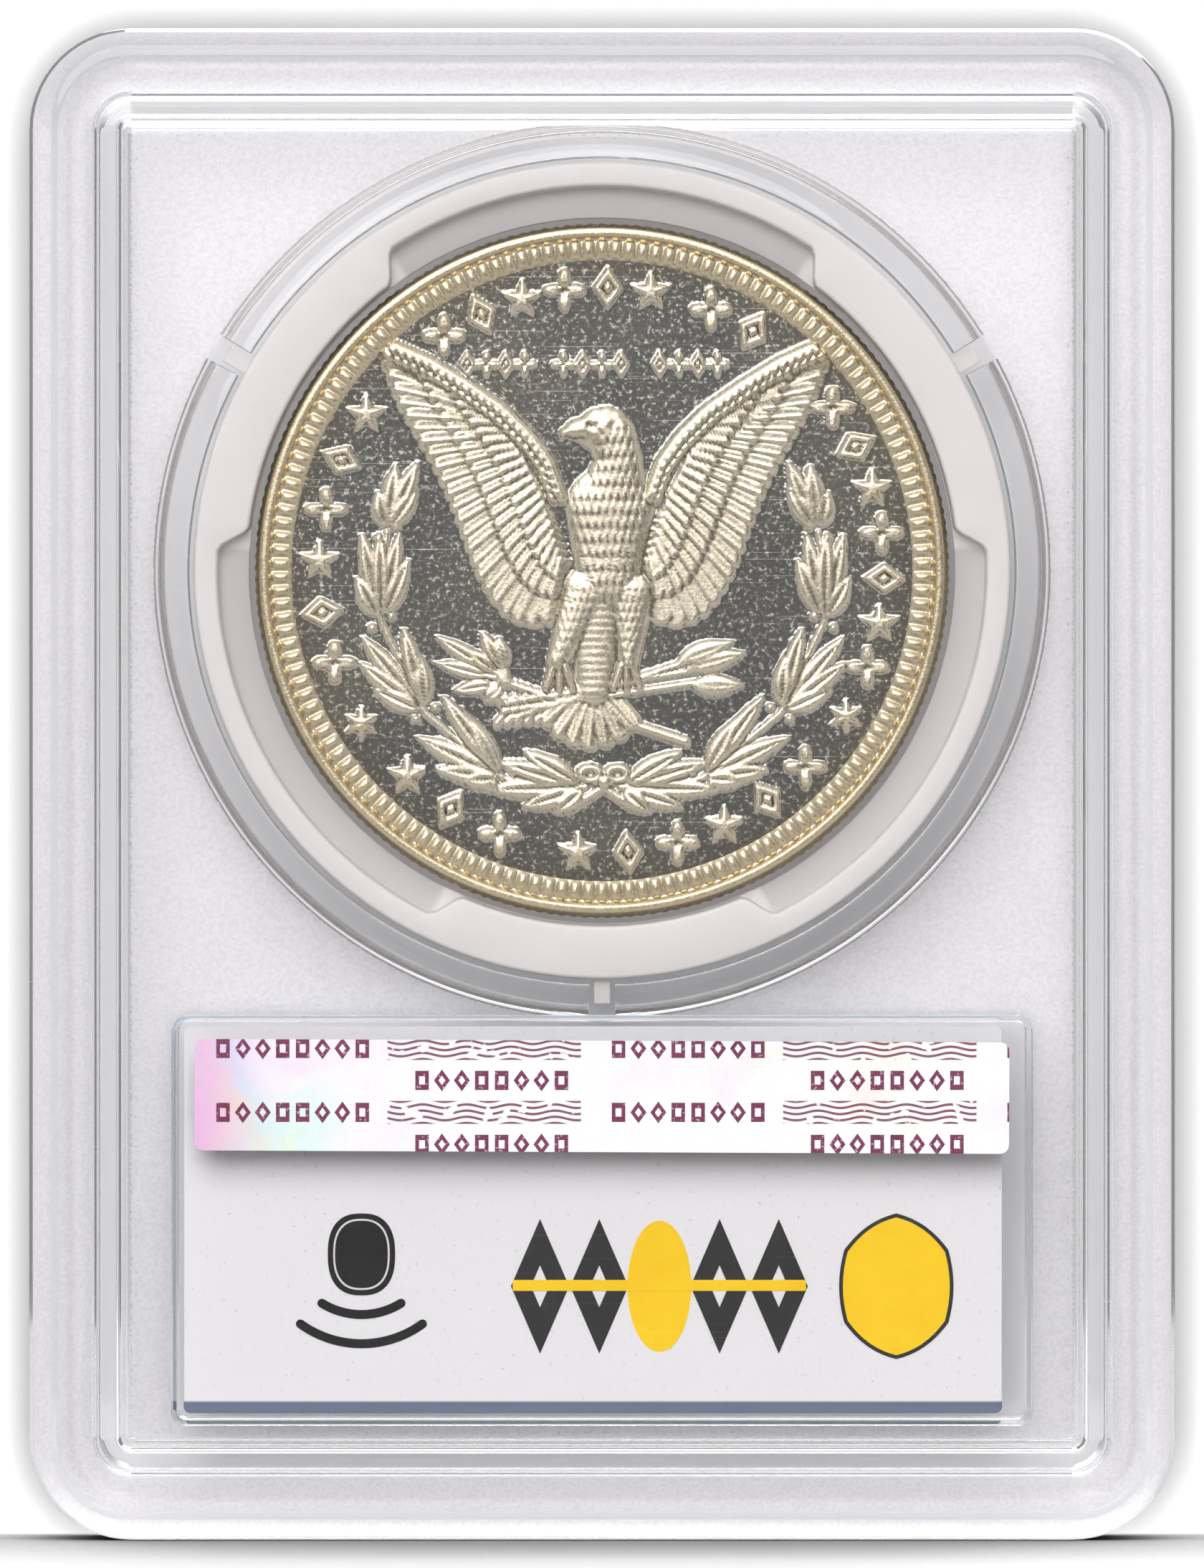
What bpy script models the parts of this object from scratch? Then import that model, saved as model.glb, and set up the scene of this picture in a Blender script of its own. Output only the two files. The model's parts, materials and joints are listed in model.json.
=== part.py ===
"""Graded coin slab: a welded clear holder with a coin in a three-pronged gasket and a label.

The slab stands upright on its short edge. X is its width, Z its height and Y its depth.
The face with the security seal looks along -Y, the face with the front label along +Y.
The halves meet on the weld plane, Y = 0, and the origin is the middle of the bottom edge.
"""

import math

import bmesh
import bpy
from mathutils import Matrix

MM = 0.001

# The whole holder.
SLAB_W = 62.8 * MM
SLAB_H = 82.8 * MM
SLAB_T = 7.6 * MM
CORNER_R = 5.6 * MM
EDGE_ROUND = 1.6 * MM

# The border, as distances in from the outer wall, and the levels of its steps.
RIM_BAND_W = 1.9 * MM
PANEL_RECESS = 1.0 * MM
STEP_DROP = 0.4 * MM
STEP_W = 1.0 * MM
STEP_SLOPE = 0.3 * MM
CAVITY_INSET = 5.3 * MM
MIN_CORNER_R = 0.3 * MM

# The weld: a tongue on the back half in a groove in the front half, and a V at the seam.
TONGUE_INSET = 2.2 * MM
TONGUE_W = 0.9 * MM
TONGUE_H = 0.7 * MM
SEAM_V = 0.2 * MM

# The coin and the gasket that grips it.
COIN_D = 38.1 * MM
COIN_T = 2.4 * MM
COIN_RIM_W = 0.9 * MM
COIN_FIELD_DROP = 0.2 * MM
COIN_EDGE_CHAMFER = 0.12 * MM
GASKET_W = 3.35 * MM
GASKET_BAND_W = 1.4 * MM
PRONGS = 3
PRONG_ANGLE = 50.0
PRONG_SHOULDER_ANGLE = 3.0
KEY_W = 0.8 * MM
KEY_REACH = 1.4 * MM

# The wall round the gasket.
RING_WALL_T = 1.9 * MM
RING_INTO_FRAME = 0.25 * MM
RING_INTO_RIM = 0.2 * MM

# The label, its window and the seal on the window.
WINDOW_SIDE_GAP = 2.4 * MM
WINDOW_CORNER_R = 0.8 * MM
WINDOW_LIP = 0.35 * MM
WINDOW_RAISE = 0.2 * MM
WINDOW_GAP_BELOW = 0.85 * MM
LABEL_LEFT_GAP = 0.3 * MM
LABEL_RIGHT_GAP = 1.3 * MM
LABEL_END_GAP = 0.3 * MM
SHEET_T = 0.3 * MM
FILM_T = 0.15 * MM
FILM_MARGIN = 1.5 * MM
TRACE_T = 0.06 * MM
TRACE_W = 0.6 * MM
TRACE_PITCH = 1.2 * MM
TRACE_TURNS = 4
TRACE_MARGIN = 1.0 * MM
CHIP_SIZE = 1.2 * MM
CHIP_T = 0.2 * MM
SEAL_SIDE_GAP = 1.3 * MM
SEAL_H = 6.1 * MM
SEAL_T = 0.1 * MM
SEAL_CORNER_R = 0.5 * MM
SEAL_GAP_ABOVE = 1.4 * MM
SEAL_TILT = 0.25

# The room left between pieces that don't touch.
CLEARANCE = 0.3 * MM
COIN_FACE_GAP = 0.4 * MM
ROOT_DEPTH = 0.5 * MM

# Resolution of the round stretches.
CORNER_STEPS = 7
EDGE_STEPS = 4
COIN_STEPS = 96
RING_STEPS = 28
GASKET_STEPS = 144

# Levels and places that follow from the sizes.
HALF_T = SLAB_T / 2
PANEL_LEVEL = HALF_T - PANEL_RECESS
CAVITY_LEVEL = COIN_T / 2 + COIN_FACE_GAP
LABEL_STACK_T = 2 * SHEET_T + FILM_T + CHIP_T + CLEARANCE / 2
PAD_LEVEL = LABEL_STACK_T / 2 + CLEARANCE
WINDOW_LEVEL = PANEL_LEVEL + WINDOW_RAISE
RIM_INNER = EDGE_ROUND + RIM_BAND_W
PANEL_INSET = RIM_INNER + 2 * STEP_SLOPE + STEP_W
COIN_R = COIN_D / 2
RING_INNER_R = COIN_R + CLEARANCE + GASKET_W
RING_OUTER_R = RING_INNER_R + RING_WALL_T
GASKET_R = RING_INNER_R - CLEARANCE
PANEL_EDGE = PANEL_INSET + STEP_SLOPE
COIN_CENTRE_Z = SLAB_H - CAVITY_INSET + RING_INTO_RIM - RING_OUTER_R
WINDOW_BOTTOM = PANEL_EDGE + WINDOW_GAP_BELOW
WINDOW_TOP = COIN_CENTRE_Z - RING_OUTER_R + RING_INTO_FRAME
WINDOW_H = WINDOW_TOP - WINDOW_BOTTOM
WINDOW_W = SLAB_W - 2 * (PANEL_EDGE + WINDOW_SIDE_GAP)
WINDOW_CENTRE_Z = (WINDOW_BOTTOM + WINDOW_TOP) / 2
LABEL_W = WINDOW_W - 2 * WINDOW_LIP - LABEL_LEFT_GAP - LABEL_RIGHT_GAP
LABEL_H = WINDOW_H - 2 * (WINDOW_LIP + LABEL_END_GAP)
LABEL_CENTRE_X = (LABEL_LEFT_GAP - LABEL_RIGHT_GAP) / 2
SEAL_W = WINDOW_W - 2 * SEAL_SIDE_GAP


def clear_scene():
    """Remove whatever the open file holds."""
    for item in list(bpy.data.objects):
        bpy.data.objects.remove(item, do_unlink=True)


def make_material(name, colour, roughness, metallic=0.0, alpha=1.0):
    """A Principled material of one colour, for one sub-part."""
    material = bpy.data.materials.new(name)
    material.use_nodes = True
    shader = material.node_tree.nodes["Principled BSDF"]
    shader.inputs["Base Color"].default_value = (*colour, 1.0)
    shader.inputs["Roughness"].default_value = roughness
    shader.inputs["Metallic"].default_value = metallic
    shader.inputs["Alpha"].default_value = alpha
    return material


def make_anchor(name, x, z, parent=None):
    """An empty that carries the pieces of one group."""
    anchor = bpy.data.objects.new(name, None)
    bpy.context.collection.objects.link(anchor)
    anchor.location = (x, 0.0, z)
    anchor.parent = parent
    return anchor


def make_object(name, body, material=None, parent=None, sharp_angle=35.0):
    """Turn a bmesh into an object, with its faces outward and its round parts smooth."""
    bmesh.ops.recalc_face_normals(body, faces=body.faces)
    mesh = bpy.data.meshes.new(name)
    body.to_mesh(mesh)
    body.free()
    mesh.shade_smooth()
    mesh.set_sharp_from_angle(angle=math.radians(sharp_angle))
    if material is not None:
        mesh.materials.append(material)
    item = bpy.data.objects.new(name, mesh)
    bpy.context.collection.objects.link(item)
    item.parent = parent
    return item


def rounded_outline(width, height, radius):
    """Points of a rectangle with round corners, anticlockwise, centred on zero."""
    points = []
    corners = ((1, 1, 0), (-1, 1, 90), (-1, -1, 180), (1, -1, 270))
    for side_x, side_z, start in corners:
        centre_x = side_x * (width / 2 - radius)
        centre_z = side_z * (height / 2 - radius)
        for step in range(CORNER_STEPS + 1):
            angle = math.radians(start + 90.0 * step / CORNER_STEPS)
            points.append((centre_x + radius * math.cos(angle), centre_z + radius * math.sin(angle)))
    return points


def loft(rings, closed=False):
    """A closed skin through rings of points: capped at both ends, or joined end to end."""
    body = bmesh.new()
    loops = [[body.verts.new(point) for point in ring] for ring in rings]
    count = len(loops[0])
    pairs = list(zip(loops, loops[1:]))
    if closed:
        pairs.append((loops[-1], loops[0]))
    for near, far in pairs:
        for index in range(count):
            after = (index + 1) % count
            body.faces.new((near[index], near[after], far[after], far[index]))
    if not closed:
        body.faces.new(list(reversed(loops[0])))
        body.faces.new(loops[-1])
    return body


def frame_loft(width, height, radius, centre_z, profile, side):
    """Loft a rounded rectangle through a profile of (inset, level above the weld plane)."""
    rings = []
    for inset, level in profile:
        corner = max(radius - inset, MIN_CORNER_R)
        outline = rounded_outline(width - 2 * inset, height - 2 * inset, corner)
        rings.append([(x, side * level, z + centre_z) for x, z in outline])
    return loft(rings)


def edge_round_profile():
    """The quarter round from the rim's face to the outer wall."""
    points = []
    for step in range(EDGE_STEPS + 1):
        angle = math.radians(90.0 * step / EDGE_STEPS)
        inset = EDGE_ROUND * (1 - math.sin(angle))
        level = HALF_T - EDGE_ROUND * (1 - math.cos(angle))
        points.append((inset, level))
    return points


def weld_profile(is_back):
    """The weld land from the seam inward: a tongue on the back, a wider groove on the front."""
    spread = 0.0 if is_back else CLEARANCE
    height = -TONGUE_H if is_back else TONGUE_H + CLEARANCE
    near = TONGUE_INSET - spread
    far = TONGUE_INSET + TONGUE_W + spread
    return [(SEAM_V, 0.0), (near, 0.0), (near, height), (far, height), (far, 0.0)]


def tray(name, is_back):
    """One half's border and panel: recess, rim band, round edge, weld land and cavity."""
    recess = [
        (PANEL_EDGE, PANEL_LEVEL),
        (PANEL_INSET, PANEL_LEVEL),
        (PANEL_INSET - STEP_SLOPE, HALF_T - STEP_DROP),
        (RIM_INNER + STEP_SLOPE, HALF_T - STEP_DROP),
        (RIM_INNER, HALF_T),
    ]
    wall = [(0.0, SEAM_V)]
    cavity = [(CAVITY_INSET, 0.0), (CAVITY_INSET, CAVITY_LEVEL)]
    profile = recess + edge_round_profile() + wall + weld_profile(is_back) + cavity
    side = -1 if is_back else 1
    return make_object(name, frame_loft(SLAB_W, SLAB_H, CORNER_R, SLAB_H / 2, profile, side))


def label_frame(name, side):
    """The clear window block: a bevelled raised face outside, a lipped pocket inside."""
    bevel = WINDOW_RAISE * 1.5
    profile = [
        (bevel, WINDOW_LEVEL),
        (0.0, WINDOW_LEVEL - WINDOW_RAISE * 0.75),
        (0.0, 0.0),
        (WINDOW_LIP, 0.0),
        (WINDOW_LIP, PAD_LEVEL),
    ]
    body = frame_loft(WINDOW_W, WINDOW_H, WINDOW_CORNER_R, WINDOW_CENTRE_Z, profile, side)
    return make_object(name, body)


def polar(radius, angle, level=0.0):
    """A point at an angle clockwise from the top, seen from the seal's side."""
    return (radius * math.sin(angle), level, radius * math.cos(angle))


def ring_wall(name, side, prong):
    """One stretch of the wall round the gasket, from one key's notch to the next."""
    notch = (KEY_W / 2 + CLEARANCE) / RING_INNER_R
    spacing = 2 * math.pi / PRONGS
    start = spacing * (prong - 0.5) + notch
    stop = spacing * (prong + 0.5) - notch
    root = side * (CAVITY_LEVEL + ROOT_DEPTH)
    rings = []
    for step in range(RING_STEPS + 1):
        angle = start + (stop - start) * step / RING_STEPS
        rings.append([
            polar(RING_INNER_R, angle),
            polar(RING_OUTER_R, angle),
            polar(RING_OUTER_R, angle, root),
            polar(RING_INNER_R, angle, root),
        ])
    body = loft(rings)
    bmesh.ops.transform(body, matrix=Matrix.Translation((0, 0, COIN_CENTRE_Z)), verts=body.verts)
    return make_object(name, body)


def join_body(target, tool):
    """Add one body to another with a Boolean union, and keep the added one as a guide."""
    tool.hide_render = True
    tool.display_type = "WIRE"
    union = target.modifiers.new(tool.name, "BOOLEAN")
    union.operation = "UNION"
    union.solver = "EXACT"
    union.object = tool


def make_shell(name, is_back, material, parent):
    """One half of the holder: tray, label frame and the wall round the gasket."""
    side = -1 if is_back else 1
    shell = tray(name, is_back)
    shell.data.materials.append(material)
    shell.parent = parent
    added = [label_frame(name + "_label_frame", side)]
    for prong in range(PRONGS):
        added.append(ring_wall(f"{name}_ring_{prong}", side, prong))
    for tool in added:
        tool.parent = parent
        join_body(shell, tool)
    return shell


def gasket_inner_radius(angle):
    """The gasket's opening: close to the coin on each prong, wide between them."""
    spacing = 2 * math.pi / PRONGS
    away = abs((angle % spacing) - spacing / 2)
    half = math.radians(PRONG_ANGLE / 2)
    shoulder = math.radians(PRONG_SHOULDER_ANGLE)
    share = min(max((away - half + shoulder / 2) / shoulder, 0.0), 1.0)
    smooth = share * share * (3 - 2 * share)
    prong_r = COIN_R + CLEARANCE
    return prong_r + smooth * (GASKET_R - GASKET_BAND_W - prong_r)


def make_gasket(material, parent):
    """The milky ring: a band, three prongs to the coin and three keys in the wall's notches."""
    half_t = CAVITY_LEVEL - CLEARANCE
    half_key = KEY_W / 2 / GASKET_R
    spacing = 2 * math.pi / PRONGS
    angles = {2 * math.pi * step / GASKET_STEPS for step in range(GASKET_STEPS)}
    for prong in range(PRONGS):
        middle = spacing * (prong + 0.5)
        angles.update((middle - half_key, middle + half_key))
    rings = []
    for angle in sorted(angles):
        inner = gasket_inner_radius(angle)
        rings.append([
            polar(inner, angle, -half_t),
            polar(GASKET_R, angle, -half_t),
            polar(GASKET_R, angle, half_t),
            polar(inner, angle, half_t),
        ])
    body = loft(rings, closed=True)
    gasket = make_object("coin_gasket", body, material, parent)
    for prong in range(PRONGS):
        key = make_key(f"coin_gasket_key_{prong}", spacing * (prong + 0.5), half_t / 2)
        key.parent = parent
        join_body(gasket, key)
    return gasket


def make_key(name, angle, half_t):
    """One key that stands out of the gasket into the notch of the ring wall."""
    body = bmesh.new()
    bmesh.ops.create_cube(body, size=1.0)
    length = KEY_REACH + ROOT_DEPTH
    bmesh.ops.scale(body, vec=(KEY_W, 2 * half_t, length), verts=body.verts)
    middle = GASKET_R - ROOT_DEPTH + length / 2
    place = Matrix.Rotation(angle, 4, "Y") @ Matrix.Translation((0, 0, middle))
    bmesh.ops.transform(body, matrix=place, verts=body.verts)
    return make_object(name, body)


def make_coin(material, parent):
    """The coin: a turned disc with a raised rim on both faces and a small edge chamfer."""
    half_t = COIN_T / 2
    field = half_t - COIN_FIELD_DROP
    rim_inner = COIN_R - COIN_RIM_W
    half = [
        (rim_inner - COIN_FIELD_DROP, field),
        (rim_inner, half_t),
        (COIN_R - COIN_EDGE_CHAMFER, half_t),
        (COIN_R, half_t - COIN_EDGE_CHAMFER),
    ]
    profile = [(radius, -level) for radius, level in half]
    profile += [(radius, level) for radius, level in reversed(half)]
    rings = []
    for radius, level in profile:
        turn = [2 * math.pi * step / COIN_STEPS for step in range(COIN_STEPS)]
        rings.append([polar(radius, angle, level) for angle in turn])
    return make_object("coin", loft(rings), material, parent)


def plain_block(name, width, height, near, far, material, parent):
    """A block with square corners between two levels along Y."""
    half_w, half_h = width / 2, height / 2
    outline = ((-half_w, -half_h), (half_w, -half_h), (half_w, half_h), (-half_w, half_h))
    rings = [[(x, level, z) for x, z in outline] for level in (near, far)]
    return make_object(name, loft(rings), material, parent)


def coil_outline(width, height, inset):
    """Corners of a square-cornered coil that winds inward one pitch a turn, all inset alike."""
    corners = [(inset - width / 2, height / 2)]
    for turn in range(TRACE_TURNS):
        half_w = width / 2 - inset - turn * TRACE_PITCH
        half_h = height / 2 - inset - turn * TRACE_PITCH
        corners.append((-half_w, -half_h))
        corners.append((half_w, -half_h))
        corners.append((half_w, half_h))
        corners.append((TRACE_PITCH - half_w, half_h))
    return corners


def make_antenna(film_w, film_h, level, material, parent):
    """The aerial: one flat trace that winds inward on the film."""
    coil_w = film_w - 2 * TRACE_MARGIN
    coil_h = film_h - 2 * TRACE_MARGIN
    outer = coil_outline(coil_w, coil_h, 0.0)
    inner = coil_outline(coil_w, coil_h, TRACE_W)
    inner_end_x = outer[-1][0]
    inner[-1] = (inner_end_x, inner[-1][1])
    rings = []
    for (outer_x, outer_z), (inner_x, inner_z) in zip(outer, inner):
        rings.append([
            (outer_x, level, outer_z),
            (inner_x, level, inner_z),
            (inner_x, level + TRACE_T, inner_z),
            (outer_x, level + TRACE_T, outer_z),
        ])
    return make_object("tag_antenna", loft(rings), material, parent)


def make_label(materials, parent):
    """The label: two printed sheets with the contactless tag between them."""
    outside = LABEL_STACK_T / 2
    film_near = SHEET_T - outside
    film_far = film_near + FILM_T
    film_w = LABEL_W - 2 * FILM_MARGIN
    film_h = LABEL_H - 2 * FILM_MARGIN
    paper = materials["label_paper"]
    plain_block("back_label", LABEL_W, LABEL_H, -outside, film_near, paper, parent)
    front_paper = materials["front_label_paper"]
    plain_block("front_label", LABEL_W, LABEL_H, outside - SHEET_T, outside, front_paper, parent)
    plain_block("tag_film", film_w, film_h, film_near, film_far, materials["tag_film"], parent)
    make_antenna(film_w, film_h, film_far, materials["antenna_foil"], parent)
    chip_end = film_far + CHIP_T
    plain_block("tag_chip", CHIP_SIZE, CHIP_SIZE, film_far, chip_end, materials["chip"], parent)


def make_seal(material, parent):
    """The security strip, stuck on the back window a little out of square."""
    outline = rounded_outline(SEAL_W, SEAL_H, SEAL_CORNER_R)
    levels = (-WINDOW_LEVEL - SEAL_T, -WINDOW_LEVEL)
    rings = [[(x, level, z) for x, z in outline] for level in levels]
    strip = make_object("hologram_seal", loft(rings), material, parent)
    strip.location.z = WINDOW_H / 2 - SEAL_GAP_ABOVE - SEAL_H / 2
    strip.rotation_euler.y = math.radians(SEAL_TILT)
    return strip


def make_materials():
    """One Principled material for each kind of surface."""
    return {
        "shell_back": make_material("clear_shell_back", (0.86, 0.86, 0.88), 0.12, alpha=0.35),
        "shell_front": make_material("clear_shell_front", (0.84, 0.85, 0.88), 0.12, alpha=0.35),
        "gasket": make_material("milky_gasket", (0.82, 0.77, 0.75), 0.45),
        "coin": make_material("toned_silver", (0.62, 0.56, 0.45), 0.3, metallic=1.0),
        "label_paper": make_material("label_paper", (0.80, 0.79, 0.81), 0.6),
        "front_label_paper": make_material("front_label_paper", (0.70, 0.76, 0.84), 0.6),
        "tag_film": make_material("tag_film", (0.78, 0.74, 0.58), 0.35),
        "antenna_foil": make_material("antenna_foil", (0.75, 0.75, 0.77), 0.3, metallic=1.0),
        "chip": make_material("chip", (0.02, 0.02, 0.025), 0.4),
        "seal": make_material("iridescent_seal", (0.90, 0.82, 0.88), 0.25),
    }


def build():
    """Make every piece of the slab."""
    clear_scene()
    materials = make_materials()
    slab = make_anchor("slab", 0.0, 0.0)
    coin_axis = make_anchor("coin_axis", 0.0, COIN_CENTRE_Z, slab)
    label_middle = make_anchor("label_middle", LABEL_CENTRE_X, WINDOW_CENTRE_Z, slab)
    window_middle = make_anchor("window_middle", 0.0, WINDOW_CENTRE_Z, slab)
    make_shell("back_shell", True, materials["shell_back"], slab)
    make_shell("front_shell", False, materials["shell_front"], slab)
    make_gasket(materials["gasket"], coin_axis)
    make_coin(materials["coin"], coin_axis)
    make_label(materials, label_middle)
    make_seal(materials["seal"], window_middle)


build()
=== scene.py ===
"""Looks of a graded coin slab: clear welded halves, a milky gasket, a struck coin and a label."""
import json
import math

import bpy
import numpy as np
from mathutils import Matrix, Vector

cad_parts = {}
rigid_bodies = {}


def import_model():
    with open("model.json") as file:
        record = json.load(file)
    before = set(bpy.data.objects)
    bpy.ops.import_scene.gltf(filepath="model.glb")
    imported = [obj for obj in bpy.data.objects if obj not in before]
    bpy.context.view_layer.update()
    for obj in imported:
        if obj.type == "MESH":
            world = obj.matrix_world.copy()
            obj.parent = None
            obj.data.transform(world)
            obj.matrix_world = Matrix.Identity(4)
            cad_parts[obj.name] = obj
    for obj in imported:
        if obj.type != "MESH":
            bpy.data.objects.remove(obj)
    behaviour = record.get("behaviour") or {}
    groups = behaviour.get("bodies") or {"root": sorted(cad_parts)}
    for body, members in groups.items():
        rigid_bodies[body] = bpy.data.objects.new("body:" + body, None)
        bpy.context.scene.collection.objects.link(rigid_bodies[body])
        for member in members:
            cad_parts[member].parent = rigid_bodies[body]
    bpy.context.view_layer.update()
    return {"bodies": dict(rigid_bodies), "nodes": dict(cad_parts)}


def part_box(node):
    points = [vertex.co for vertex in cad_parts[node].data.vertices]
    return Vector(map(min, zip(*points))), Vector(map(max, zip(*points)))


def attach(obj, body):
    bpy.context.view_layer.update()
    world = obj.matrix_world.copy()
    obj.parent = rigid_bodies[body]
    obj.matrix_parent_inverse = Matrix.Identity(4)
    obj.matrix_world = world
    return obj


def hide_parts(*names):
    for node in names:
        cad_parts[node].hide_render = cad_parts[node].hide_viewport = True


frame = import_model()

MM = 0.001
ROOT = next(iter(frame["bodies"]))


# ---------------------------------------------------------------- sizes read from the frame

def node_box(node):
    """Lowest corner, highest corner, middle and half size of a CAD node, as arrays."""
    low, high = (np.array(corner, float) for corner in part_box(node))
    return low, high, (low + high) / 2, (high - low) / 2


BACK_LOW, BACK_HIGH = node_box("back_shell")[:2]
_, COIN_HIGH, COIN_MID, COIN_HALF = node_box("coin")
GASKET_HIGH = node_box("coin_gasket")[1]
LABEL_LOW, LABEL_HIGH, LABEL_MID, LABEL_HALF = node_box("back_label")
PLATE_LOW, PLATE_HIGH = node_box("front_label")[:2]
_, SEAL_HIGH, SEAL_MID, _ = node_box("hologram_seal")

SLAB_W = BACK_HIGH[0] - BACK_LOW[0]
SLAB_H = BACK_HIGH[2] - BACK_LOW[2]
HALF_T = -BACK_LOW[1]
COIN_R = COIN_HALF[0]
COIN_Z = COIN_MID[2]

# The moulding's own steps, the same as the shells'.
CORNER_R = 5.6 * MM
EDGE_ROUND = 1.6 * MM
RIM_INNER = 3.5 * MM
PANEL_INSET = 5.1 * MM
PANEL_EDGE = 5.4 * MM
STEP_SLOPE = 0.3 * MM
STEP_DROP = 0.4 * MM
PANEL_LEVEL = HALF_T - 1.0 * MM
WINDOW_LEVEL = -SEAL_HIGH[1]
CAVITY_INSET = 5.3 * MM
CAVITY_LEVEL = 1.6 * MM
PAD_LEVEL = 0.85 * MM
SEAM_V = 0.2 * MM
TONGUE_INSET = 2.2 * MM
TONGUE_W = 0.9 * MM
TONGUE_H = 0.7 * MM
CLEARANCE = 0.3 * MM
WELD_GAP = 0.01 * MM
GASKET_R = GASKET_HIGH[0]
RING_INNER_R = GASKET_R + 0.3 * MM
RING_OUTER_R = RING_INNER_R + 1.9 * MM
WINDOW_MID_Z = LABEL_MID[2]
WINDOW_HALF_W = 23.6 * MM
WINDOW_HALF_H = LABEL_HALF[2] + 0.65 * MM
WINDOW_LIP = 0.35 * MM
PRONGS = 3


# ---------------------------------------------------------------- mesh helpers

def grid_quads(rows, cols, wrap_rows=False, wrap_cols=False):
    """Corner numbers of the quads of a rows by cols grid, joined end to end where asked."""
    index = np.arange(rows * cols).reshape(rows, cols)
    if wrap_cols:
        index = np.hstack([index, index[:, :1]])
    if wrap_rows:
        index = np.vstack([index, index[:1]])
    corners = (index[:-1, :-1], index[:-1, 1:], index[1:, 1:], index[1:, :-1])
    return np.stack(corners, axis=-1).reshape(-1, 4)


def enclosed_volume(points, faces):
    """Signed volume inside a closed skin, by the divergence theorem over a fan of each face."""
    total = 0.0
    for group in faces:
        first = points[group[:, 0]]
        for step in range(1, group.shape[1] - 1):
            second = points[group[:, step]]
            third = points[group[:, step + 1]]
            total += np.einsum("ij,ij->", first, np.cross(second, third)) / 6
    return total


def skin(name, points, faces, smooth_angle=35.0):
    """A mesh object from points and groups of equal-sided faces, turned to face outward."""
    points = np.ascontiguousarray(points.reshape(-1, 3))
    faces = [np.asarray(group) for group in faces]
    if enclosed_volume(points, faces) < 0:
        faces = [group[:, ::-1] for group in faces]
    mesh = bpy.data.meshes.new(name)
    mesh.vertices.add(len(points))
    mesh.vertices.foreach_set("co", points.ravel())
    corners = np.concatenate([group.ravel() for group in faces])
    sizes = np.concatenate([np.full(len(group), group.shape[1]) for group in faces])
    starts = np.concatenate([[0], np.cumsum(sizes)[:-1]])
    mesh.loops.add(len(corners))
    mesh.loops.foreach_set("vertex_index", corners.astype(np.int32))
    mesh.polygons.add(len(sizes))
    mesh.polygons.foreach_set("loop_start", starts.astype(np.int32))
    mesh.update(calc_edges=True)
    mesh.shade_smooth()
    mesh.set_sharp_from_angle(angle=math.radians(smooth_angle))
    item = bpy.data.objects.new(name, mesh)
    bpy.context.collection.objects.link(item)
    return item


def loft(name, rings, smooth_angle=35.0):
    """A closed skin through rings of points, capped with a flat face at both ends."""
    rows, cols, _ = rings.shape
    ends = np.array([np.arange(cols)[::-1], np.arange(cols) + (rows - 1) * cols])
    return skin(name, rings, [grid_quads(rows, cols, wrap_cols=True), ends], smooth_angle)


def rounded_rectangle(half_w, half_h, radius, steps=14):
    """Outline of a rectangle with quarter-circle corners, anticlockwise from the right side."""
    turn = np.radians(np.linspace(0, 90, steps + 1))
    outline = []
    for quarter, (side_x, side_z) in enumerate(((1, 1), (-1, 1), (-1, -1), (1, -1))):
        angle = turn + quarter * math.pi / 2
        x = side_x * (half_w - radius) + radius * np.cos(angle)
        z = side_z * (half_h - radius) + radius * np.sin(angle)
        outline.append(np.stack([x, z], axis=-1))
    return np.concatenate(outline)


def soft_profile(corners, steps=4):
    """Profile (inset, level, radius): each corner becomes a circular arc tangent to its sides.

    The arc is the rational quadratic (1-t)^2 A + 2wt(1-t) B + t^2 C with w = cos(turn / 2).
    """
    place = np.array([corner[:2] for corner in corners])
    points = [place[0]]
    for index in range(1, len(corners) - 1):
        before = place[index - 1] - place[index]
        after = place[index + 1] - place[index]
        near, far = np.linalg.norm(before), np.linalg.norm(after)
        before, after = before / near, after / far
        half_open = math.acos(np.clip(before @ after, -1, 1)) / 2
        reach = corners[index][2] / max(math.tan(half_open), 1e-6)
        reach = min(reach, 0.45 * near, 0.45 * far)
        if reach <= 0:
            points.append(place[index])
            continue
        count = steps if corners[index][2] < 1.0 * MM else 3 * steps
        t = np.linspace(0, 1, count + 1)[:, None]
        weight = math.sin(half_open)
        start, stop = place[index] + before * reach, place[index] + after * reach
        top = (1 - t) ** 2 * start + 2 * weight * t * (1 - t) * place[index] + t ** 2 * stop
        points.extend(top / ((1 - t) ** 2 + 2 * weight * t * (1 - t) + t ** 2))
    points.append(place[-1])
    return np.array(points)


def frame_rings(half_w, half_h, radius, mid_z, profile, side):
    """Rounded rectangles stepped in by the profile's inset, at its level above the weld plane."""
    rings = []
    for inset, level in profile:
        corner = max(radius - inset, 0.3 * MM)
        outline = rounded_rectangle(half_w - inset, half_h - inset, corner)
        height = np.full(len(outline), side * level)
        rings.append(np.stack([outline[:, 0], height, outline[:, 1] + mid_z], axis=-1))
    return np.array(rings)


def around(radius, angle, level):
    """Points at angles clockwise from the top round the coin's axis."""
    radius, angle, level = np.broadcast_arrays(radius, angle, level)
    return np.stack([radius * np.sin(angle), level, radius * np.cos(angle) + COIN_Z], axis=-1)


def finished(item, material, slot, *nodes):
    """Give a piece its material and its body, and hide the CAD nodes that it stands for. The slot is not
    used.
    """
    item.data.materials.clear()
    item.data.materials.append(material)
    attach(item, ROOT)
    if nodes:
        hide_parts(*nodes)
    return item


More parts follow.
